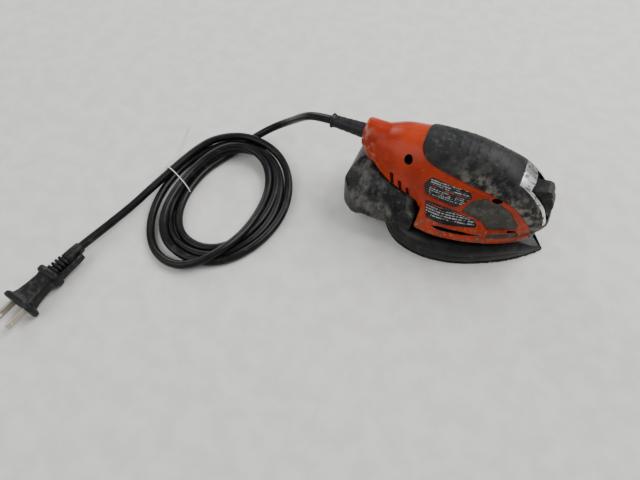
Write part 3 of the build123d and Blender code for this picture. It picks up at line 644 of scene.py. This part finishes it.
def body_form():
    """Upper body: arches over straight sides and a flat underside, closely spaced along X."""
    rings = []
    places = np.linspace(BODY[0][0], BODY[-1][0], SKIN_STEPS)
    for x, (crest, half, wide, base) in zip(places, curve_through(BODY, places)):
        ring = [(x, -half, base), (x, 0, base), (x, half, base), (x, half, (base + wide) / 2)]
        power = 0.95 - 0.27 * float(ease(x, 36, 62))
        for a in np.linspace(0, math.pi, 45):
            ring.append((x, half * signed_power(math.cos(a), power),
                         wide + (crest - wide) * math.sin(a) ** power))
        ring.append((x, -half, (base + wide) / 2))
        rings.append(ring)
    return loft("upper", rings)


def round_form(name, rows, count):
    """Round solid about the cord's axis at the housing, from rows of (x, radius)."""
    return loft(name, [[(x, r * math.cos(a), CORD_AXIS_Z + r * math.sin(a)) for a in full_turn(count)]
                       for x, r in rows])


def on_slope(points):
    """Places points given as x down the nose's slope, z out of it, from the rocker's pivot."""
    x0, _, z0 = ROCKER_PIVOT
    return [(x0 + x * SLOPE_COS + z * SLOPE_SIN, y, z0 - x * SLOPE_SIN + z * SLOPE_COS)
            for x, y, z in points]


def to_slope(points):
    """The same turned back: points of the model in the slope's directions."""
    x, z = points[:, 0] - ROCKER_PIVOT[0], points[:, 2] - ROCKER_PIVOT[2]
    return np.column_stack([x * SLOPE_COS - z * SLOPE_SIN, points[:, 1], x * SLOPE_SIN + z * SLOPE_COS])


def room_form():
    """The rocker's room: a disc's upper part across Y, closed by a flat floor."""
    start = math.asin(ROOM_FLOOR / ROOM_RADIUS)
    arc = [(ROOM_RADIUS * math.cos(a), ROOM_RADIUS * math.sin(a))
           for a in np.linspace(start, math.pi - start, 24)]
    return loft("room", [on_slope([(x, y, z) for x, z in arc]) for y in (-ROOM_HALF, ROOM_HALF)])


def box_form(x0, x1, y0, y1, z0, z1):
    return loft("box", [[(x, y0, z0), (x, y1, z0), (x, y1, z1), (x, y0, z1)] for x in (x0, x1)])


def cut(thing, *tools):
    """Takes the tools out of thing."""
    for tool in tools:
        step = thing.modifiers.new("cut", "BOOLEAN")
        step.operation = "DIFFERENCE"
        step.solver = "EXACT"
        step.object = tool
        apply_modifiers(thing)
        bpy.data.objects.remove(tool)
    return thing


def refine(thing, chosen):
    """Splits the edges whose both ends are chosen, for finer relief there."""
    with editing(thing) as mesh:
        edges = [e for e in mesh.edges if chosen[e.verts[0].index] and chosen[e.verts[1].index]]
        bmesh.ops.subdivide_edges(mesh, edges=edges, cuts=1, use_grid_fill=True)
    thing.data.update()


def openings():
    """Screw wells in the right side and slots through both."""
    tools = [loft("well", [[(x + a * math.cos(t), y, z + b * math.sin(t)) for t in full_turn(32)]
                           for y in (-end, WELL_MOUTH)]) for x, z, a, b, end in WELLS]
    for outline, end in HOLES:
        for side, _ in SIDES:
            tools.append(loft("slot", [[(x, side * y, z) for x, z in rounded(outline, HOLE_CORNER)]
                                       for y in (end, OUTSIDE)]))
    return tools


class Skin:
    """The body's one smooth skin, which the housing and everything laid over it are taken from."""

    def __init__(self):
        upper = cut(body_form(), canister_form(0.9), room_form())
        lower = cut(skirt_form(), box_form(*CANISTER_NECK))
        whole = join([upper, lower, round_form("collar", COLLAR, 47)], "skin")
        self.thing = cut(fuse(whole, 0.8, 7), *openings())
        self.measure()
        near = np.zeros(len(self.co), bool)
        for outline in (GRIP, PANEL, LABEL_UPPER, LABEL_LOWER, STRIP, SLOT, CHEEK, NOSE_SLOT, *VENTS):
            near |= np.abs(self.side_distance(outline)) < EDGE
        near &= self.co[:, 2] > 24.5
        near |= np.abs(self.bezel_distance()) < EDGE
        refine(self.thing, near)
        self.measure()

    def measure(self):
        """Reads the mesh: points, normals, faces, and what is near or inside an opening."""
        self.co, self.no = vertices(self.thing), normals(self.thing)
        self.faces = [tuple(p.vertices) for p in self.thing.data.polygons]
        self.side = ease(np.abs(self.no[:, 1]), 0.12, 0.3)    # 1 where a point faces sideways
        self.down = to_slope(self.co)
        self.off_rocker = self.rocker_room() < -0.05
        reach = np.full(len(self.co), -9.0)
        for x, z, a, b, _ in WELLS:
            inside = b * (1 - np.hypot((self.co[:, 0] - x) / a, (self.co[:, 2] - z) / b))
            reach = np.where(self.co[:, 1] < 0, np.maximum(reach, inside), reach)
        for outline, _ in HOLES:
            inside = np.where(np.abs(self.co[:, 1]) > 8, self.side_distance(outline, HOLE_CORNER), -9)
            reach = np.maximum(reach, inside)
        self.well = reach > -0.12
        self.calm = 1 - ease(reach, -1.4, -0.3)

    def side_distance(self, outline, radius=2):
        """Distance inside an outline in side view."""
        return signed_distance(self.co[:, [0, 2]], rounded(outline, radius))

    def rocker_room(self):
        """Distance inside the rocker's opening, a little larger than its room."""
        reach = ROOM_RADIUS + ROOM_MARGIN - np.hypot(self.down[:, 0], np.maximum(self.down[:, 2], 0))
        across = ROOM_HALF + ROOM_MARGIN - np.abs(self.co[:, 1])
        return np.where(self.down[:, 2] < 17, np.minimum(reach, across), -9)

    def bezel_distance(self):
        return np.minimum(self.side_distance(BEZEL), BEZEL_HALF - np.abs(self.co[:, 1]))

    def grip_distance(self):
        return np.minimum(self.side_distance(GRIP, GRIP_CORNER), -self.bezel_distance())

    def layer(self, name, distance, lift, keep, margin=EDGE):
        """Copy of the skin inside an outline, lifted along its normals; its edge dips under the housing."""
        chosen = (distance > -margin) & keep & ~self.well
        rise = lift - (lift + 0.9) * (1 - ease(distance, -margin, 0.35))
        faces = [face for face in self.faces if all(chosen[i] for i in face)]
        thing, _ = part_of(name, self.co + self.no * np.reshape(rise, (-1, 1)), faces)
        return shade(thing, 50)


def housing_relief(skin):
    """How far the red skin stands in or out of the base form."""
    side, z = skin.side, skin.co[:, 2]
    grip = skin.side_distance(GRIP, GRIP_CORNER)
    lift = -0.9 * ease(grip, -0.5, 0.4)
    lift += 0.35 * ease(grip, -3.2, -1.6) * (1 - ease(grip, -1, -0.3)) * side
    for outline, depth in ((LABEL_UPPER, 0.7), (LABEL_LOWER, 0.7), (PANEL, 1.1), (STRIP, 0.8)):
        inside = skin.side_distance(outline)
        lift -= side * depth * ease(inside, -0.7, 0.1)
        lift += side * 0.3 * ease(inside, -2.6, -1.2) * (1 - ease(inside, -1, -0.4))
    lift -= side * 0.7 * ease(skin.side_distance(CHEEK), -0.2, 0.5)
    lift += side * 0.7 * ease(z, 24.4, 25.4) * (1 - ease(z, 29.8, 31)) * (skin.co[:, 0] < 78)
    return lift * skin.calm


def split_shell(skin, relief, side, name):
    """One half of the housing as a thin shell, open underneath; points inside openings are marked for
    painted shade.
    """
    points = skin.co + skin.no * relief[:, None]
    centre = np.array([skin.co[list(f)].mean(0) for f in skin.faces])
    facing = np.array([skin.no[list(f)].mean(0) for f in skin.faces])
    open_below = (centre[:, 2] < 24.9) & (facing[:, 2] < -0.6)
    keep = ~open_below & (centre[:, 1] * side > -1.5)
    half, used = part_of(name, points, [f for f, k in zip(skin.faces, keep) if k])
    # Points in the screw wells, the slots and round the rocker's room, which get painted shade, near black
    painted_pocket_shade = skin.well | (skin.rocker_room() > -1.2)
    shadow = half.data.attributes.new("painted_pocket_shade", "FLOAT", "POINT")
    shadow.data.foreach_set("value", painted_pocket_shade[used].astype(float))
    with editing(half) as mesh:
        everything = mesh.verts[:] + mesh.edges[:] + mesh.faces[:]
        bmesh.ops.bisect_plane(mesh, geom=everything, clear_outer=True,
                               plane_co=(0, PARTING_GAP * side, 0), plane_no=(0, -side, 0))
    wall = half.modifiers.new("wall", "SOLIDIFY")
    wall.thickness = 1.8 * MM
    return apply_modifiers(half)


# ---- dust canister
# x, half width, bottom, top
CANISTER = [(-73, 19, 25, 30), (-72.4, 24, 18.5, 36), (-71.2, 27.5, 14.4, 42), (-69, 30.5, 12.4, 47.5),
            (-66, 33.2, 11.9, 52), (-62, 36, 12, 55), (-57.5, 38.6, 13.6, 55.6), (-53.5, 40.2, 16.2, 54.4),
            (-49.5, 41.3, 19.4, 52.4), (-44, 42, 20, 50.4), (-36, 42.5, 20.1, 48.4),
            (-28, 42.7, 20.2, 46.4), (-20, 42.4, 20.3, 44.6), (-15, 42, 20.4, 42.6),
            (-11, 41.6, 20.4, 39.8), (-7.8, 41.2, 20.5, 34.5)]
# Half width allowed at each height
CANISTER_FRONT = [(42.6, 8), (42.6, 18.5), (41.9, 21.5), (40, 26), (37.4, 31), (34.2, 36), (30.6, 41),
                  (26.4, 46), (21, 50.5), (14, 54.5), (5, 57.5)]
CANISTER_WALL = 2.2
CANISTER_NECK = (-12, 4, -11, 11, 26, 34)     # passage cut in the skirt, as x, y and z limits
CANISTER_MOUTH = (-14, -4, -11, 11, 26, 34)   # and in the canister


def canister_form(grow=0):
    """Sections across X: upright sides, shoulders that lean in, and a flat bottom."""
    lean = np.array(CANISTER_FRONT)
    rows = np.array(CANISTER, float)
    middle, half_length = (rows[0, 0] + rows[-1, 0]) / 2, (rows[-1, 0] - rows[0, 0]) / 2
    rows[:, 0] = middle + (rows[:, 0] - middle) * (1 + grow / half_length)
    places = np.linspace(rows[0, 0], rows[-1, 0], 60)
    rings = []
    for x, (half, bottom, top) in zip(places, curve_through(rows, places)):
        heights = np.linspace(bottom - grow, top + grow, 22)
        sides = np.minimum(half + grow, np.interp(heights - grow, lean[:, 1], lean[:, 0]) + grow)
        right = [(x, -y, z) for y, z in zip(sides, heights)]
        left = [(x, y, z) for y, z in zip(sides[::-1], heights[::-1])]
        cap = [(x, y, top + grow) for y in np.linspace(-sides[-1], sides[-1], 8)[1:-1]]
        sole = [(x, y, bottom - grow) for y in np.linspace(sides[0], -sides[0], 14)[1:-1]]
        rings.append(right + cap + left + sole)
    return loft("canister", rings)


def make_canister():
    """Hollow shell with fine ribs, dents and a low seam on its flanks."""
    shell = cut(canister_form(), canister_form(-CANISTER_WALL), box_form(*CANISTER_MOUTH))
    shell = fuse(shell, 0.9, 9)
    co, no = vertices(shell), normals(shell)
    x, y, z = co.T
    outside = (np.abs(y) > np.interp(x, [-73, -60, -40], [0, 20, 30])) | (z < 24) | (x < -70)
    flank = ease(np.abs(no[:, 1]), 0.5, 0.8) * outside
    ribs = 0.5 + 0.5 * np.cos((x + 12) * 2 * math.pi / 3.2)
    ribs *= ease(x, -24, -19) * (1 - ease(x, -11.5, -9.5)) * (z > 22) * (z < 40)
    dents = np.sin(x * 0.21 + 1) * np.sin(z * 0.29 + y * 0.05)
    seam = np.exp(-((z - 23.4) / 0.55) ** 2) * ease(x, -50, -46)
    lift = flank * (0.35 * ribs + 0.22 * dents - 0.5 * seam)
    set_vertices(shell, co + no * lift[:, None])
    shade(shell, 0)
    shell.name = "dust_canister"
    smoke = Finish("canister_smoke", (0.008, 0.0083, 0.009), 0.33)
    smoke.vary((0.018, 0.0175, 0.017), 0.7)
    smoke.dust((0.17, 0.165, 0.15), 0.8, 0.47, 0.68, 0.6, 0.85, (1, 1, 0.6))
    smoke.dust((0.26, 0.25, 0.235), 2.4, 0.56, 0.76, 0.42, 0.9, (1.6, 1.6, 0.6))
    smoke.grain(9, 0.04)
    smoke.grain(45, 0.012)
    smoke.wear_on(shell)
    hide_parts("canister_shell")
    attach(shell, "canister")


# ---- pad
PAD_SIDE = [(-68, 0), (-61.5, 24), (-47, 40.5), (-23, 47), (1, 43.8), (27, 32.3), (48, 18.6), (68, 0)]
DUST_HOLES = [(-14, 24), (-14, -24), (52, 14), (52, -14), (0, 33), (0, -33), (34, 26), (34, -26)]
ORBIT_X = 20.9    # the platen bearing's middle
LEGS = [(4.9, 28), (4.9, -28), (54.4, 16.5), (54.4, -16.5)]
HOOK_TOP = 2.2    # the foam starts here
SHEET_SPLIT, SHEET_GAP, SHEET_THICK = PAD_X + 32, 0.6, 0.95


def pad_ring(inset, z, count=150):
    """The pad's outline moved in, less so near the sharp tip."""
    flat = plan_outline(PAD_SIDE, count, round_rear=True)
    ring = moved_in(flat, inset * (1 - 0.8 * ease(flat[:, 0], 42, 64)))
    return [(x + PAD_X, y, z) for x, y in ring]


def thinned(co):
    """The pad's height falls away over the tip, behind a step."""
    x, y, z = co.T
    share = 1 - 0.235 * ease(x, 70, 78) - 0.66 * np.clip((x - 78) / 18, 0, 1)
    return np.column_stack([x, y, np.where(z > HOOK_TOP, HOOK_TOP + (z - HOOK_TOP) * share, z)])


def make_foam():
    """Foam layer with a bulged, slightly uneven edge."""
    rows = [(0.9, 2.25), (0.25, 2.7), (-0.05, 4.2), (-0.15, 6.2), (0, 8.2), (0.5, 9.6), (0.9, 10.2)]
    foam = loft("pad_foam", [pad_ring(inset, z) for inset, z in rows])
    co = vertices(foam)
    x, y, z = co.T
    wobble = 0.16 * np.sin(x * 0.33 + y * 0.1) * np.sin(x * 0.071 + z * 0.6)
    co[:, :2] = (co[:, :2] - (PAD_X, 0)) * (1 + wobble[:, None] / 50) + (PAD_X, 0)
    set_vertices(foam, thinned(co))
    return foam


def make_platen():
    """Moulded plate with a round shoulder, a bearing boss and four cups for the flexible legs."""
    rows = [(1.2, 9.9), (0.45, 10.3), (0.3, 11.2), (0.6, 12.8), (1.4, 14.6), (2.7, 16.3), (4.4, 17.7),
            (6.2, 18.5), (8, 18.8), (9, 18.5), (9.4, 17.5), (9.6, 15), (10.2, 14.3), (11.5, 14.2)]
    parts = [loft("platen_plate", [pad_ring(inset, z) for inset, z in rows])]
    for x, y, radius, top in [(ORBIT_X, 0, 12.5, 18.5), *[(x, y, 7.5, 17.4) for x, y in LEGS]]:
        profile = [(1.6, 13.8), (0.4, 14.8), (0, 15.6), (0, top - 0.5), (-0.5, top), (-1.9, top),
                   (-2.1, top - 0.5), (-2.1, 14)]
        parts.append(loft("cup", [[(x + (radius + r) * math.cos(a), y + (radius + r) * math.sin(a), z)
                                   for a in full_turn(40)] for r, z in profile]))
    whole = join(parts, "platen_moulding")
    set_vertices(whole, thinned(vertices(whole)))
    return whole


def sheet_outline():
    """Pad outline with a worn, torn edge on the right towards the tip."""
    ring = np.array(pad_ring(0.1, 0, 400))[:, :2]
    edge = random.Random(11)
    jitter = np.array([edge.uniform(-1, 1) for _ in ring])
    drift = np.tile([edge.uniform(-1, 1) for _ in range(len(ring) // 6 + 1)], 6)[:len(ring)]
    slow = np.convolve(drift, np.ones(9) / 9, mode="same")
    torn = (ring[:, 1] < -3) * ease(ring[:, 0], 30, 62)
    return moved_in(ring, 0.12 * jitter - 0.25 * np.abs(slow) - torn * (0.35 + 0.55 * jitter))


def make_sheets():
    """Main abrasive sheet with its dust holes, and the tip sheet in front of it."""
    outline = sheet_outline()
    past = [i for i, point in enumerate(outline) if point[0] > SHEET_SPLIT]
    main = [*outline[past[-1] + 1:], *outline[:past[0]]]
    tip = [point for point in outline[past[0]:past[-1] + 1] if point[0] > SHEET_SPLIT + SHEET_GAP]
    holes = [circle(x, y, 3.2) for x, y in DUST_HOLES]
    pieces = []
    for name, outlines, node in (("abrasive_sheet", [main, *holes], "sanding_sheet"),
                                 ("abrasive_tip", [tip], "tip_sheet")):
        piece = flat_shape(name, outlines, SHEET_THICK)
        set_vertices(piece, vertices(piece) + (0, 0, 0.5))
        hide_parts(node)
        pieces.append(shade(piece, 40))
    return pieces


def make_pad():
    rubber = Finish("pad_rubber", (0.011, 0.0112, 0.0118), 0.3)
    rubber.vary((0.021, 0.0205, 0.0195), 0.9)
    rubber.dust((0.12, 0.105, 0.085), 1, 0.57, 0.75, 0.5, 0.85)
    rubber.grain(7, 0.05)
    rubber.grain(50, 0.01)
    foam, platen = make_foam(), make_platen()
    for piece, node, slot in ((foam, "foam_pad", "foam"), (platen, "platen", "black_plastic")):
        shade(piece, 45)
        rubber.wear_on(piece)
        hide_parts(node)
        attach(piece, "platen")
    grit = Finish("abrasive_grit", (0.075, 0.06, 0.045), 0.85)
    grit.vary((0.035, 0.03, 0.026), 1.5)
    grit.dust((0.42, 0.36, 0.28), 2.2, 0.52, 0.72, 0.55, 0.9)
    grit.grain(60, 0.12)
    for piece in make_sheets():
        grit.wear_on(piece)
        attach(piece, "platen")


# ---- rocker switch
# Along the slope, height of the middle
ROCKER_CROWN = [(-14.3, 0.5), (-13.8, 4.2), (-13, 7.5), (-11.6, 10.5), (-10.5, 13.4), (-9, 16.6),
                (-6.6, 18.4), (-2.2, 17.6), (-1, 15.4), (0.2, 15.8), (4.5, 15.2), (8, 13.8), (10.6, 11.2),
                (12.4, 7.8), (13.8, 4), (14.3, 0.5)]
ROCKER_END, ROCKER_HALF = 14.3, 9.1


def make_rocker():
    """Rubber rocker: two pads along the slope, a notch between them and a lower flank each side."""
    rings = []
    places = np.linspace(-ROCKER_END, ROCKER_END, 87)
    for u, crown in zip(places, np.interp(places, *np.array(ROCKER_CROWN).T)):
        ring = []
        edge = 5.8 + 1.6 * abs(u) / ROCKER_END
        for t in np.linspace(-1, 1, 41):
            y = ROCKER_HALF * t
            centre = 1 - float(ease(abs(y), edge - 0.9, edge + 0.7))
            valley = math.exp(-((abs(y) - edge - 0.2) / 0.5) ** 2)
            height = crown * (0.80 + 0.20 * centre) * (1 - abs(t) ** 6) ** 0.3 - 0.5 * valley
            ring.append((u, y, max(height, -1)))
        ring += [(u, y, -1.3) for y in np.linspace(ROCKER_HALF, -ROCKER_HALF, 12)]
        rings.append(on_slope(ring))
    boot = loft("rocker_boot", rings)
    shade(boot, 50)
    rubber = Finish("rocker_rubber", (0.011, 0.0115, 0.0125), 0.48)
    rubber.vary((0.022, 0.022, 0.021), 2)
    rubber.dust((0.085, 0.078, 0.066), 2.6, 0.55, 0.75, 0.5, 0.85)
    rubber.grain(16, 0.06)
    rubber.wear_on(boot)
    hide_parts("switch_rocker")
    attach(boot, "rocker")


# ---- strain relief
def make_relief():
    """Tapered sleeve with a collar at the housing and shallow rings."""
    rows = [(-96, 4.2), (-95.7, 4.9), (-92, 5.05), (-84, 5.4), (-76, 5.8), (-68, 6.25), (-60, 6.5),
            (-52, 6.5)]
    places = np.linspace(rows[0][0], rows[-1][0], 90)
    radii = curve_through(rows, places)[:, 0]
    radii -= 0.16 * (0.5 + 0.5 * np.cos((places + 94) * 2 * math.pi / 5.2)) * ease(places, -95, -92)
    sleeve = round_form("cord_relief", zip(places, radii), 40)
    shade(sleeve, 35)
    vinyl = Finish("relief_rubber", (0.012, 0.0125, 0.014), 0.38)
    vinyl.vary((0.022, 0.022, 0.023), 1.6)
    vinyl.dust((0.07, 0.065, 0.06), 2, 0.56, 0.74, 0.5, 0.8)
    vinyl.grain(14, 0.05)
    vinyl.wear_on(sleeve)
    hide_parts("strain_relief")
    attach(sleeve, "housing")


# ---- housing and what is laid over it
def red_paint():
    """Red plastic with dirt low down and at the rear, and painted shade, near black, inside the openings."""
    red = Finish("housing_red", (0.26, 0.018, 0.004), 0.33)
    red.vary((0.37, 0.034, 0.008), 0.5)
    red.dust((0.2, 0.055, 0.025), 0.9, 0.55, 0.78, 0.45, 0.6)
    red.dust((0.36, 0.2, 0.13), 3.2, 0.62, 0.78, 0.4, 0.8)
    low = red.slope_mask((0, 0, 1), 52, 26)
    red.dust((0.13, 0.06, 0.035), 1.7, 0.46, 0.66, 0.7, 0.8, within=low)
    red.dust((0.33, 0.24, 0.17), 4, 0.54, 0.68, 0.5, 0.85, within=low)
    rear = red.slope_mask((-1, 0, -0.55), 12, 24)
    red.dust((0.36, 0.27, 0.21), 2, 0.46, 0.62, 0.6, 0.85, within=rear)
    # Painted shade: the marked points inside the wells, slots and rocker's room are painted near black
    painted_pocket_shade = red.node("ShaderNodeAttribute", attribute_name="painted_pocket_shade")
    red.paint(painted_pocket_shade.outputs["Fac"], (0.006, 0.006, 0.006))
    red.grain(30, 0.012)
    red.grain(3, 0.03)
    return red


def make_housing(skin):
    relief = housing_relief(skin)
    red = red_paint()
    for side, word in SIDES:
        half = split_shell(skin, relief, side, f"housing_{word}_shell")
        shade(half, 42)
        red.wear_on(half)
        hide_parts(f"housing_{word}")
        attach(half, "housing")


BAR_ROW, BAR_PITCH = 7, 7.5    # spacing of the grip's bars along and across


def grip_texture(skin, distance):
    """Short raised bars in rows over the crown, and a smooth hollow along each side."""
    co = skin.co
    crown = ease(skin.no[:, 2], 0.72, 0.85) * ease(distance, 2.5, 4) * (1 - ease(co[:, 0], 44, 50))
    row = np.round(co[:, 0] / BAR_ROW)
    along = np.abs(co[:, 0] - row * BAR_ROW)
    place = co[:, 1] / BAR_PITCH + 0.5 * (row % 2)
    across = np.abs(place - np.round(place)) * BAR_PITCH
    bars = (1 - ease(along, 0.7, 1.3)) * (1 - ease(across, 2, 2.7))
    hollow = ease(skin.side_distance(GRIP_HOLLOW, 3), -0.5, 3.5)
    return 0.32 * bars * crown - 0.55 * hollow * skin.side


def make_grip(skin):
    distance = skin.grip_distance()
    grip = skin.layer("grip_overmould", distance, 1.45 + grip_texture(skin, distance), skin.off_rocker)
    rubber = Finish("grip_rubber", (0.009, 0.0096, 0.0105), 0.5)
    rubber.vary((0.022, 0.022, 0.0215), 0.8)
    low = rubber.times(rubber.slope_mask((0.33, 0, 1), 98, 82), rubber.slope_mask((1, 0, 0), 2, 34))
    rubber.dust((0.23, 0.21, 0.18), 1.6, 0.4, 0.62, 0.8, 0.92, within=low)
    rubber.dust((0.11, 0.105, 0.095), 0.9, 0.54, 0.74, 0.5, 0.92)
    rubber.dust((0.22, 0.21, 0.2), 5, 0.62, 0.74, 0.4, 0.9, (0.6, 1.5, 1))
    rubber.grain(22, 0.05)
    rubber.grain(5, 0.06)
    rubber.wear_on(grip)
    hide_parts("top_grip")
    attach(grip, "housing")


def make_bezel(skin):
    trim = skin.layer("bezel_trim", skin.bezel_distance(), 1.75, skin.off_rocker, margin=1)
    silver = Finish("trim_silver", (0.2, 0.2, 0.2), 0.36, 0.85)
    silver.vary((0.34, 0.34, 0.33), 2.2)
    # Painted light: the right side, the one towards the camera, is painted light silver; the rest of the
    # same trim stays dark grey
    silver.paint(silver.slope_mask((0, -1, 0), -1, 3), (0.74, 0.74, 0.72))
    silver.dust((0.04, 0.038, 0.035), 3, 0.52, 0.6, 0.85, 0.7)
    silver.grain(12, 0.04)
    silver.wear_on(trim)
    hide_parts("switch_bezel")
    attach(trim, "housing")


PRINT_PITCH = 1.75 * MM
PRINT_RED_ROW = 4.0


def label_film(name, low, high):
    """Black film with rows of short dashes in place of a printed text, one row of them in red."""
    film = Finish(name, (0.01, 0.01, 0.011), 0.34)
    film.vary((0.022, 0.022, 0.022), 1.2)
    parts = film.node("ShaderNodeSeparateXYZ")
    film.link(film.place, parts.inputs[0])
    x, z = parts.outputs["X"], parts.outputs["Z"]
    do, times = film.compute, film.times
    rows = do("DIVIDE", do("SUBTRACT", z, low * MM), PRINT_PITCH)
    line = do("LESS_THAN", do("ABSOLUTE", do("SUBTRACT", do("FRACT", rows), 0.5)), 0.23)
    letters = film.ramp(film.noise(14, 2, (1, 0.02, 0.16)), 0.44, 0.52)
    words = film.ramp(film.noise(1.1, 1, (1, 0.02, 4)), 0.4, 0.46)
    inside = times(do("GREATER_THAN", z, low * MM), do("LESS_THAN", z, high * MM))
    left = do("GREATER_THAN", x, do("ADD", do("MULTIPLY", z, -0.1), 2.6 * MM))
    mask = times(times(times(line, letters), times(words, inside)), left)
    film.paint(mask, (0.42, 0.42, 0.41))
    film.paint(times(mask, do("COMPARE", do("FLOOR", rows), PRINT_RED_ROW)), (0.45, 0.03, 0.015))
    film.dust((0.14, 0.13, 0.12), 2.4, 0.56, 0.72, 0.45, 0.7)
    return film


def make_side_pieces(skin):
    grey = Finish("panel_grey", (0.03, 0.031, 0.028), 0.5)
    grey.vary((0.05, 0.047, 0.04), 0.8)
    grey.dust((0.15, 0.14, 0.115), 1.3, 0.5, 0.7, 0.5, 0.9)
    grey.dust((0.24, 0.22, 0.19), 6, 0.58, 0.72, 0.5, 0.9)
    grey.grain(35, 0.03)
    upper = label_film("upper_film", 55.6, 69.6)
    lower = label_film("lower_film", 38.8, 47.8)
    for outline, name, node, depth, paint, slot in (
            (PANEL, "vent_panel", "side_panel", -0.35, grey, "grey_panel"),
            (STRIP, "skirt_plate", "skirt_strip", -0.25, grey, "grey_panel"),
            (LABEL_UPPER, "rating_film", "upper_label", -0.35, upper, "label_film"),
            (LABEL_LOWER, "notice_film", "lower_label", -0.35, lower, "label_film")):
        distance = skin.side_distance(outline)
        for side, word in SIDES:
            here = (skin.co[:, 1] * side > 5) & (np.abs(skin.no[:, 1]) > 0.1)
            piece = skin.layer(f"{name}_{word}", distance, depth, here)
            paint.wear_on(piece)
            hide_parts(f"{node}_{word}")
            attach(piece, "housing")


# ---- the CAD parts that stay
# Colour, roughness and metal of each material slot
PLAIN = {
    "steel": (0.42, 0.42, 0.43, 0.28, 1),
    "laminations": (0.16, 0.15, 0.14, 0.45, 1),
    "copper": (0.55, 0.22, 0.08, 0.35, 1),
    "black_plastic": (0.02, 0.02, 0.021, 0.5, 0),
    "carbon": (0.015, 0.015, 0.016, 0.6, 0),
    "zinc": (0.38, 0.39, 0.41, 0.4, 1),
    "filter_paper": (0.55, 0.5, 0.42, 0.9, 0),
    "hook_fabric": (0.025, 0.024, 0.023, 0.95, 0),
    "wire_insulation": (0.03, 0.03, 0.035, 0.4, 0),
}
PLAIN_OTHER = (0.05, 0.05, 0.05, 0.5, 0)


@functools.cache
def plain_finish(slot):
    *colour, rough, metal = PLAIN.get(slot, PLAIN_OTHER)
    finish = Finish(f"{slot}_finish", colour, rough, metal)
    finish.vary([c * 0.65 for c in colour], 2.5)
    finish.dust([0.5 * c + 0.06 for c in colour], 3, 0.56, 0.74, 0.4, min(1, rough + 0.3))
    finish.grain(25, 0.03)
    return finish


def dress_frame():
    slots = {part["node"]: part["material_slot"] for part in frame["record"]["subparts"]}
    for name, thing in frame["nodes"].items():
        plain_finish(slots[name]).wear_on(thing)


def main():
    make_camera()
    make_studio()
    dress_frame()
    make_cord()
    make_relief()
    skin = Skin()
    make_housing(skin)
    make_grip(skin)
    make_bezel(skin)
    make_side_pieces(skin)
    bpy.data.objects.remove(skin.thing)
    make_canister()
    make_pad()
    make_rocker()


main()
